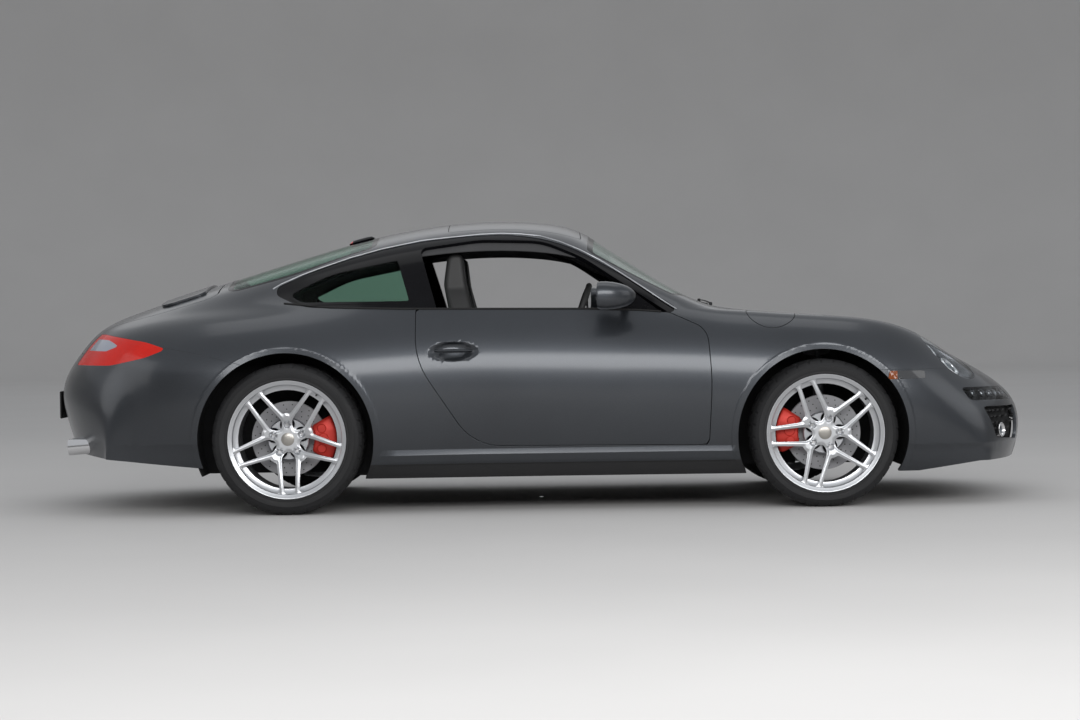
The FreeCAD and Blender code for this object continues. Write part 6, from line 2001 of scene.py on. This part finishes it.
    def plate_holder(self) -> None:
        """Bare holder for the number plate."""
        mould = Mould()
        back = []
        half, low, high = self.plate
        for y in np.linspace(-half, half, 9):
            for z in (low, high):
                back.append(self.skin.at((-3, y, z), (1, 0, 0))[0].x)
        front = self.plate_front + CENTRE
        mould.block((front, -half, low), (min(back) + .004, half, high), .008)
        mould.on(1).block((front - .0006, -.250, .425), (front + .004, .250, .527), .003)
        mould.mark = 2
        for y in (-.15, .15):
            mould.lathe([(TIP, -.0008), (.0060, -.0006), (.0066, .002), (TIP, .002)],
                        (front, y, .476), (1, 0, 0), steps=16)
        mould.piece("plate_holder_frame", [BLACK_PLASTIC, BLACK_GLOSS, SATIN_METAL], "root",
                    "black_trim", ["plate_holder"])

    def exhaust(self) -> None:
        """Silencers and twin tips on both sides."""
        mould = Mould()
        mould.lathe([(TIP, -.138), (.055, -.138), (.070, -.126), (.072, -.110), (.072, .110),
                     (.070, .126), (.055, .138), (TIP, .138)],
                    (-1.960 + CENTRE, -.470, .336), (0, 1, 0), steps=40)
        mould.mark = 1
        for y in self.tips:
            start, end = Vector((-2.182 + CENTRE, -y, .296)), Vector((-1.990 + CENTRE, -y, .310))
            length = (end - start).length
            mould.lathe([(.0335, .0005), (.0355, .0015), (.0360, .006), (.0360, length),
                         (.0300, length), (.0315, .012),
                         (.0325, .002)], start, end - start, steps=40)
            mould.on(2).lathe([(.0308, .016), (.0308, length - .01), (TIP, length - .01),
                               (TIP, length - .012), (.0300, length - .012),
                               (.0300, .016)], start, end - start, steps=32)
            mould.mark = 1
        mould.twin()
        mould.piece("exhaust_system", [SATIN_METAL, CHROME, SOOT_AND_HOLE_SHADE], "root", "exhaust_steel",
                    ["exhaust"])

    def filler(self) -> None:
        """Bowl and cap under the fuel flap."""
        axis = Vector(FLAP_AXIS).normalized()
        centre = self.skin.over(FLAP_AT[0] - CENTRE, FLAP_AT[1])[0]
        mould = Mould()
        mould.lathe([(.070, -.026), (.070, -.060), (TIP, -.062), (TIP, -.064), (.072, -.063),
                     (.072, -.026)], centre - axis * .004, axis, steps=48)
        mould.on(1).lathe([(.036, -.060), (.036, -.040), (.032, -.036), (TIP, -.036),
                           (TIP, -.060)],
                          centre - axis * .004, axis, steps=36)
        mould.block(centre + Vector((-.030, -.004, -.040)), centre + Vector((.030, .004, -.030)),
                    .003)
        mould.piece("fuel_filler", [BLACK_PLASTIC, BLACK_GLOSS], "root", "black_trim")


# Cabin


def resampled(line: Array, step: float) -> Array:
    """A closed line with even steps."""
    closed = np.concatenate([line, line[:1]])
    reach = np.concatenate([[0], np.cumsum(np.linalg.norm(np.diff(closed, axis=0), axis=1))])
    places = np.linspace(0, reach[-1], max(8, int(reach[-1] / step)), endpoint=False)
    return np.stack([np.interp(places, reach, closed[:, k]) for k in (0, 1)], 1)


def line_normals(line: Array) -> Array:
    """Outward normals of a closed line in the plane."""
    along = np.roll(line, -1, 0) - np.roll(line, 1, 0)
    normals = np.stack([along[:, 1], -along[:, 0]], 1)
    normals /= np.maximum(np.linalg.norm(normals, axis=1, keepdims=True), 1e-9)
    area = (line[:, 0] * np.roll(line[:, 1], -1) - np.roll(line[:, 0], -1) * line[:, 1]).sum()
    return normals if area > 0 else -normals


def crowned_rings(line: Array, half: float, edge: float, radius: float, count: int) -> list:
    """Sections from -half to half across the car, drawn in over the last edge of the width."""
    normals = line_normals(line)
    rings = []
    for y in np.linspace(-half, half, count):
        section = line - normals * (radius * drawn_in((abs(y) - half + edge) / edge))
        rings.append([(x, y, z) for x, z in section])
    return rings


@dataclass
class Cushion:
    """Upholstered seat: a side outline crowned across its width, with trough, channels and seams.

    Args:
        outline: side outline of the seat.
        trough: floor line of the trough between the side rolls.
        centre: distance of the seat's middle from the car's middle plane.
        half: half width.
        taper: rows of height and half width, over the shoulders.
        crown: radius of the crowned sides.
        shell_top: height below which the seat is a moulded plinth.
    """

    outline: Outline
    trough: tuple
    centre: float
    half: float
    taper: tuple = ()
    crown: float = .034
    shell_top: float = .265
    stations: int = 29
    channel: float = .078
    groove: float = .0045
    facing: tuple = (.6, .8)
    seam_share: float = .55

    def half_at(self, z: Array) -> Array:
        """Half width at each height."""
        if not self.taper:
            return np.full(len(z), self.half)
        return np.interp(z, [row[0] for row in self.taper], [row[1] for row in self.taper])

    def station(self, share: float) -> Array:
        """One section at a share of the half width."""
        line = resampled(self.outline.line(), .012)
        normals = line_normals(line)
        edge = self.crown / self.half
        depth = self.crown * drawn_in((abs(share) - (1 - edge)) / edge)
        line = line - normals * (depth * (1 - .4 * smooth_step(line[:, 1], .84, .95)))[:, None]
        if self.trough:
            line = self.hollowed(line, normals, share)
        y = share * self.half_at(line[:, 1])
        return np.stack([line[:, 0], y, line[:, 1]], 1)

    def hollowed(self, line: Array, normals: Array, share: float) -> Array:
        """Sinks the section to the trough and presses its sewn channels."""
        floor = np.array([(x + CENTRE, z) for x, z in self.trough])
        reach = np.concatenate([[0], np.cumsum(np.linalg.norm(np.diff(floor, axis=0), axis=1))])
        fine = np.linspace(0, reach[-1], 160)
        floor = np.stack([np.interp(fine, reach, floor[:, k]) for k in (0, 1)], 1)
        gap = np.linalg.norm(line[:, None] - floor[None], axis=2)
        near, nearest = gap.min(1), gap.argmin(1)
        facing = normals @ np.array(self.facing) > .1
        weight = (1 - smooth_step(near, .045, .090)) * facing
        weight = weight * (1 - float(smooth_step(abs(share), .50, .74)))
        sunk = line + (floor[nearest] - line) * weight[:, None]
        wave = np.clip(np.cos(2 * math.pi * fine[nearest] / self.channel), 0, 1) ** 10
        inner = 1 - float(smooth_step(abs(share), .40, .52))
        return sunk - normals * (self.groove * wave * weight * inner)[:, None]

    def build(self, name: str, node: str) -> None:
        """Makes the pair of seats and their seams."""
        mould = Mould()
        shares = np.sin(np.linspace(-1, 1, self.stations) * math.pi / 2)
        rings = [self.station(s) for s in shares]
        mould.rings([[tuple(p + (0, self.centre, 0)) for p in ring] for ring in rings], caps=False)
        for ring in (rings[0], rings[-1]):
            flat = [Vector((p[0], p[2], 0)) for p in ring]
            mould.add(ring + (0, self.centre, 0), geometry.tessellate_polygon([flat]))
        for index, face in enumerate(mould.faces):
            height = sum(mould.points[i][2] for i in face) / len(face)
            mould.marks[index] = int(height < self.shell_top)
        mould.twin()
        piece = mould.piece(f"{name}_cushions", [LEATHER, BLACK_PLASTIC], "root",
                            "seat_leather", [node], sharp=50)
        seams = Mould()
        for share in (-self.seam_share, self.seam_share):
            ring = self.station(share)
            facing = line_normals(ring[:, ::2]) @ np.array(self.facing) > .15
            chosen = np.where(facing & (ring[:, 2] > self.shell_top + .06))[0]
            jumps = np.where(np.diff(chosen) > 3)[0]
            parts = np.split(chosen, jumps + 1)
            path = ring[max(parts, key=len)][::2] + (0, self.centre, 0)
            seams.tube([tuple(p) for p in path], .0015, steps=6)
        seams.twin()
        seams.piece(f"{name}_seams", [THREAD], "root", "seat_leather")


@dataclass
class Cabin:
    """Everything that shows through the open windows."""

    skin: BodySkin
    wheel_at: tuple = (.104, -.370, .826)
    wheel_axis: tuple = (.94, 0, -.34)
    wheel_radius: float = .172
    grip: float = .014
    dash_half: float = .698
    dash_round: float = .030
    dash_room: float = .030
    dash_split: float = .735
    console_half: float = .1095
    card_foot: float = .736
    card_lean: float = .032 / .7
    spoke: tuple = ((.030, .030, .010), (.070, .022, .009), (.120, .015, .008),
                    (.166, .0125, .007))
    spoke_trim: tuple = ((.052, .024), (.080, .020), (.120, .015), (.158, .0125))
    lining: tuple = (-.93, .27, .58)
    hood_steps: tuple = ((.226, .86), (.06, .97), (.012, 1.0), (0, .985), (.004, .95), (.034, .91))
    dials: tuple = ((0, .056), (.088, .046), (-.088, .046), (.150, .030), (-.150, .030))
    vents: tuple = ((-.062, .826), (.062, .826), (.610, .770), (-.625, .770))
    dash: Outline = Outline(((.452, .600, .030), (.400, .690, .060), (.420, .800, .050),
                             (.500, .850, .060), (.780, .858, .004), (.780, .602, .004)))
    console: Outline = Outline(((-.250, .332, .010), (-.250, .470, .040), (-.060, .430, .120),
                                (.200, .430, .120), (.430, .620, .060), (.500, .620, .004),
                                (.500, .332, .004)))
    card: Outline = Outline(((-.548, .866, .012), (-.566, .660, .300), (-.345, .330, .200),
                             (.610, .322, .020), (.622, .858, .012)))

    def build(self) -> None:
        """Makes seats, dashboard, steering wheel, headliner and doors' inner sides."""
        Cushion(Outline(((-.330, .172, .008), (.150, .172, .020), (.176, .330, .045),
                         (.168, .412, .045), (-.060, .372, .160), (-.205, .400, .070),
                         (-.372, .905, .220), (-.398, 1.010, .060), (-.412, 1.140, .026),
                         (-.476, 1.140, .036), (-.496, 1.000, .120), (-.380, .420, .160))),
                ((.200, .386), (-.060, .348), (-.230, .380), (-.398, .900)), .385, .235,
                ((.860, .235), (.915, .190), (.985, .136), (1.14, .128))
                ).build("front_seat", "front_seats")
        Cushion(Outline(((-.880, .172, .004), (-.580, .172, .030), (-.560, .440, .050),
                         (-.600, .486, .040), (-.770, .452, .050), (-.826, .560, .060),
                         (-.838, .850, .024), (-.884, .850, .020))),
                ((-.600, .470), (-.770, .440), (-.836, .560), (-.848, .800)), .335, .205,
                channel=.066).build("rear_seat", "rear_seats")
        self.dashboard()
        self.steering_wheel()
        self.headliner()
        for side in Side:
            self.door_card(side)
            self.door_edge(side)

    def dashboard(self) -> None:
        """Dash pad with hood, dials, vents and screen, and the centre console."""
        mould = Mould()
        rings = crowned_rings(resampled(self.dash.line(), .018), self.dash_half, self.dash_round,
                              self.dash_round, 31)
        mould.rings([[(x, y, min(z, self.skin.over(x - CENTRE, y)[0].z - self.dash_room))
                      for x, y, z in ring] for ring in rings])
        for index, face in enumerate(mould.faces):
            height = sum(mould.points[i][2] for i in face) / len(face)
            mould.marks[index] = int(height < self.dash_split)
        self.hood(mould)
        self.middle(mould)
        mould.piece("dashboard_pad",
                    [SOFT_TRIM, BLACK_PLASTIC, BLACK_GLOSS, SATIN_METAL, DIAL_FACE],
                    "root", "interior", ["dashboard"], sharp=50)

    def hood(self, mould: Mould) -> None:
        """Oval hood with five dials, and the column."""
        centre = Vector((.520 + CENTRE, self.wheel_at[1], .800))
        rings = []
        for x, scale in self.hood_steps:
            rings.append([(centre.x + x, centre.y + .190 * scale * math.cos(a),
                           centre.z - .1 * x + .082 * scale * math.sin(a))
                          for a in turns(48)])
        mould.on(0).rings(rings, caps=False)
        mould.on(2).add(rings[-1], [tuple(range(48))])
        for offset, radius in self.dials:
            place = centre + Vector((.033, offset, 0))
            mould.on(3).lathe([(radius, 0), (radius, -.006), (radius - .002, -.008),
                               (radius - .004, -.006), (radius - .004, 0)], place, (1, 0, 0),
                               steps=32)
            mould.on(4).lathe([(TIP, -.003), (radius - .004, -.003), (radius - .004, 0), (TIP, 0)],
                              place, (1, 0, 0), steps=32)
            for k in range(-4, 5):
                a = math.radians(90 + 30 * k)
                ends = [place + Vector((-.0035, *polar(radius - inset, a)))
                        for inset in (.007, .013)]
                mould.on(3).tube(ends, .0007, steps=4)
        axis = Vector(self.wheel_axis).normalized()
        mould.on(1).lathe([(TIP, .120), (.030, .120), (.034, .128), (.034, .436), (TIP, .436)],
                          (self.wheel_at[0] + CENTRE, self.wheel_at[1], self.wheel_at[2]), axis,
                          steps=28)

    def middle(self, mould: Mould) -> None:
        """Vents, screen, console and lever."""
        mould.on(2).block((.406 + CENTRE, -.105, .690), (.440 + CENTRE, .105, .800), .008)
        for y, z in self.vents:
            x = .418 + CENTRE + (.012 if z > .8 else 0)
            mould.on(3).block((x, y - .046, z - .022), (x + .040, y + .046, z + .022), .006)
            mould.mark = 1
            for k in range(4):
                mould.block((x - .002, y - .040, z - .0165 + .0095 * k),
                            (x + .010, y + .040, z - .0115 + .0095 * k), .001)
        mould.on(0).rings(crowned_rings(resampled(self.console.line(), .012), self.console_half,
                                        self.console_half / 4, .020, 13))
        mould.on(2).block((-.02 + CENTRE, -.060, .425), (.150 + CENTRE, .060, .437), .004)
        mould.on(0).lathe([(TIP, 0), (.040, 0), (.030, .016), (.014, .032), (TIP, .034)],
                          (.060 + CENTRE, 0, .434), (0, 0, 1), steps=24)
        mould.on(3).tube([(.060 + CENTRE, 0, .46), (.056 + CENTRE, 0, .520)], .006, steps=12)
        mould.on(2).lathe([(TIP, -.026), (.012, -.024), (.020, -.010), (.023, .006), (.018, .020),
                           (TIP, .026)],
                          (.054 + CENTRE, 0, .535), (0, 0, 1), steps=24)

    def steering_wheel(self) -> None:
        """Three-spoke wheel on its shaft."""
        axis = Vector(self.wheel_axis).normalized()
        side = Vector((0, 1, 0))
        up = side.cross(axis).normalized()
        if up.z < 0:
            up = -up
        centre, mould = Vector(self.wheel_at) + Vector((CENTRE, 0, 0)), Mould()
        rings = []
        for a in turns(72):
            out = side * math.cos(a) + up * math.sin(a)
            thick = self.grip * (.90 + .10 * math.cos(4 * a) ** 2)
            rings.append([tuple(centre + out * (self.wheel_radius + thick * math.cos(b))
                                + axis * thick * math.sin(b)) for b in turns(16)])
        mould.rings(rings, loop=True)
        for way in (side, -side, -up):
            across = way.cross(axis).normalized()
            section = []
            for reach, half, deep in self.spoke:
                foot = centre + way * reach + axis * .004
                section.append([tuple(foot + across * (half * math.cos(b))
                                      + axis * (deep * math.sin(b))) for b in turns(16)])
            mould.on(0).rings(section)
            mould.mark = 1
            for edge in (-1, 1):
                mould.tube([centre + way * reach + across * (edge * half * .78) + axis * -.0035
                            for reach, half in self.spoke_trim], .0026, steps=8)
        mould.on(0).lathe([(TIP, -.020), (.030, -.019), (.046, -.012), (.052, 0), (.052, .036),
                           (.044, .050), (TIP, .050)], centre, axis, steps=40)
        mould.on(1).lathe([(TIP, -.0213), (.013, -.0212), (.0150, -.0190), (.0150, -.015),
                           (TIP, -.015)],
                          centre, axis, steps=28)
        mould.lathe([(TIP, .040), (.0115, .040), (.0115, .118), (TIP, .118)], centre, axis,
                    steps=20)
        mould.piece("steering_wheel_rim", [LEATHER, SATIN_METAL], "steering_wheel",
                    "interior", ["steering_wheel"], sharp=50)

    def headliner(self) -> None:
        """Soft lining under the roof."""
        x0, x1, half = self.lining
        lining = self.skin.whole.split(in_box((x0 + CENTRE, -half, 1.06),
                                              (x1 + CENTRE, half, 2)))[0]
        sheet_piece("headliner_sheet", shell(lowered(lining, .0185), .004), [HEADLINER], "root")

    def card_plane(self, z: float) -> float:
        """Distance of the doors' inner face from the middle plane."""
        return self.card_foot - self.card_lean * (z - .2)

    def door_card(self, side: Side) -> None:
        """Lining with armrest, pull, pocket and speaker."""
        mould = Mould()
        line = resampled(self.card.line(), .03)
        middle = line.mean(0)
        rings = []
        for out, scale in ((.022, 1), (.006, 1), (.001, .994), (0, .985)):
            rings.append([(middle[0] + (x - middle[0]) * scale,
                           side.value * (self.card_plane(z) + out),
                           middle[1] + (z - middle[1]) * scale)
                          for x, z in line])
        mould.rings(rings)
        inner = self.card_plane(.6)
        mould.block((-.40 + CENTRE, side.value * (inner - .052), .585),
                    (.16 + CENTRE, side.value * (inner + .010), .640), .016)
        mould.on(1).block((-.30 + CENTRE, side.value * (inner - .030), .262 + .11),
                          (.50 + CENTRE, side.value * (inner + .024), .455), .012)
        mould.lathe([(TIP, -.004), (.074, -.004), (.080, 0), (.080, .012), (TIP, .012)],
                    (.500 + CENTRE, side.value * self.card_plane(.50), .500 + .06),
                    (0, side.value, .045), steps=36)
        mould.on(2).tube([(-.02 + CENTRE, side.value * (inner - .002), .735),
                          (.00 + CENTRE, side.value * (inner - .040), .735),
                          (.18 + CENTRE, side.value * (inner - .040), .745),
                          (.20 + CENTRE, side.value * (inner - .002), .746)], .009, steps=12)
        mould.piece(f"door_card_{side.label}", [SOFT_TRIM, BLACK_PLASTIC, SATIN_METAL],
                    f"door_{side.label}", "interior", sharp=50)

    def door_edge(self, side: Side) -> None:
        """Painted edge between the door's skin and its lining."""
        rings = []
        for x, z in resampled(DOOR.line(), .02):
            if z > .880:
                continue
            middle = np.array((0.0, .55))
            inwards = middle - (x, z)
            inwards /= np.linalg.norm(inwards)
            outer = abs(self.skin.at((x, side.value * 2, z), (0, -side.value, 0))[0].y) - .013
            inner = self.card_plane(z) + .006
            ring = []
            for y, inset in ((outer, .004), (inner, .018), (inner, .022), (outer, .008)):
                ring.append((x + inwards[0] * inset, side.value * max(y, inner),
                             z + inwards[1] * inset))
            rings.append(ring)
        start = max(range(len(rings)), key=lambda i: np.linalg.norm(
            np.array(rings[i][0]) - np.array(rings[i - 1][0])))
        mould = Mould()
        mould.rings(rings[start:] + rings[:start])
        mould.piece(f"door_edge_{side.label}", [INNER_PAINT], f"door_{side.label}", "body_paint")


@dataclass
class BarePieces:
    """Finishes for the construction pieces that show as they are."""

    def build(self) -> None:
        """Dresses each shown piece."""
        rows = ((CARPET, ("wheel_houses", "floor_pan", "luggage_well")),
                (CAST, ("engine_block", "front_suspension", "rear_suspension", "knuckle_right",
                        "knuckle_left")))
        for finish, names in rows:
            for name in names:
                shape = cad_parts[name]
                shape.data.materials.clear()
                shape.data.materials.append(finish.material())
                log.info("%s: finish %s", name, finish.name)


def main() -> None:
    """Builds the sub-assemblies in order."""
    logging.basicConfig(level=logging.INFO, format="%(name)s %(message)s")
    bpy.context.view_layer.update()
    Stage().build()
    skin = BodySkin()
    skin.prepare()
    skin.cut()
    for assembly in (BodyPanels(skin), Glazing(skin), Wheels(), Headlamps(skin), TailLamps(skin),
                     BumperLamps(skin), Grilles(skin), OutsideTrim(skin), Cabin(skin),
                     BarePieces()):
        assembly.build()


if __name__ == "__main__":
    main()
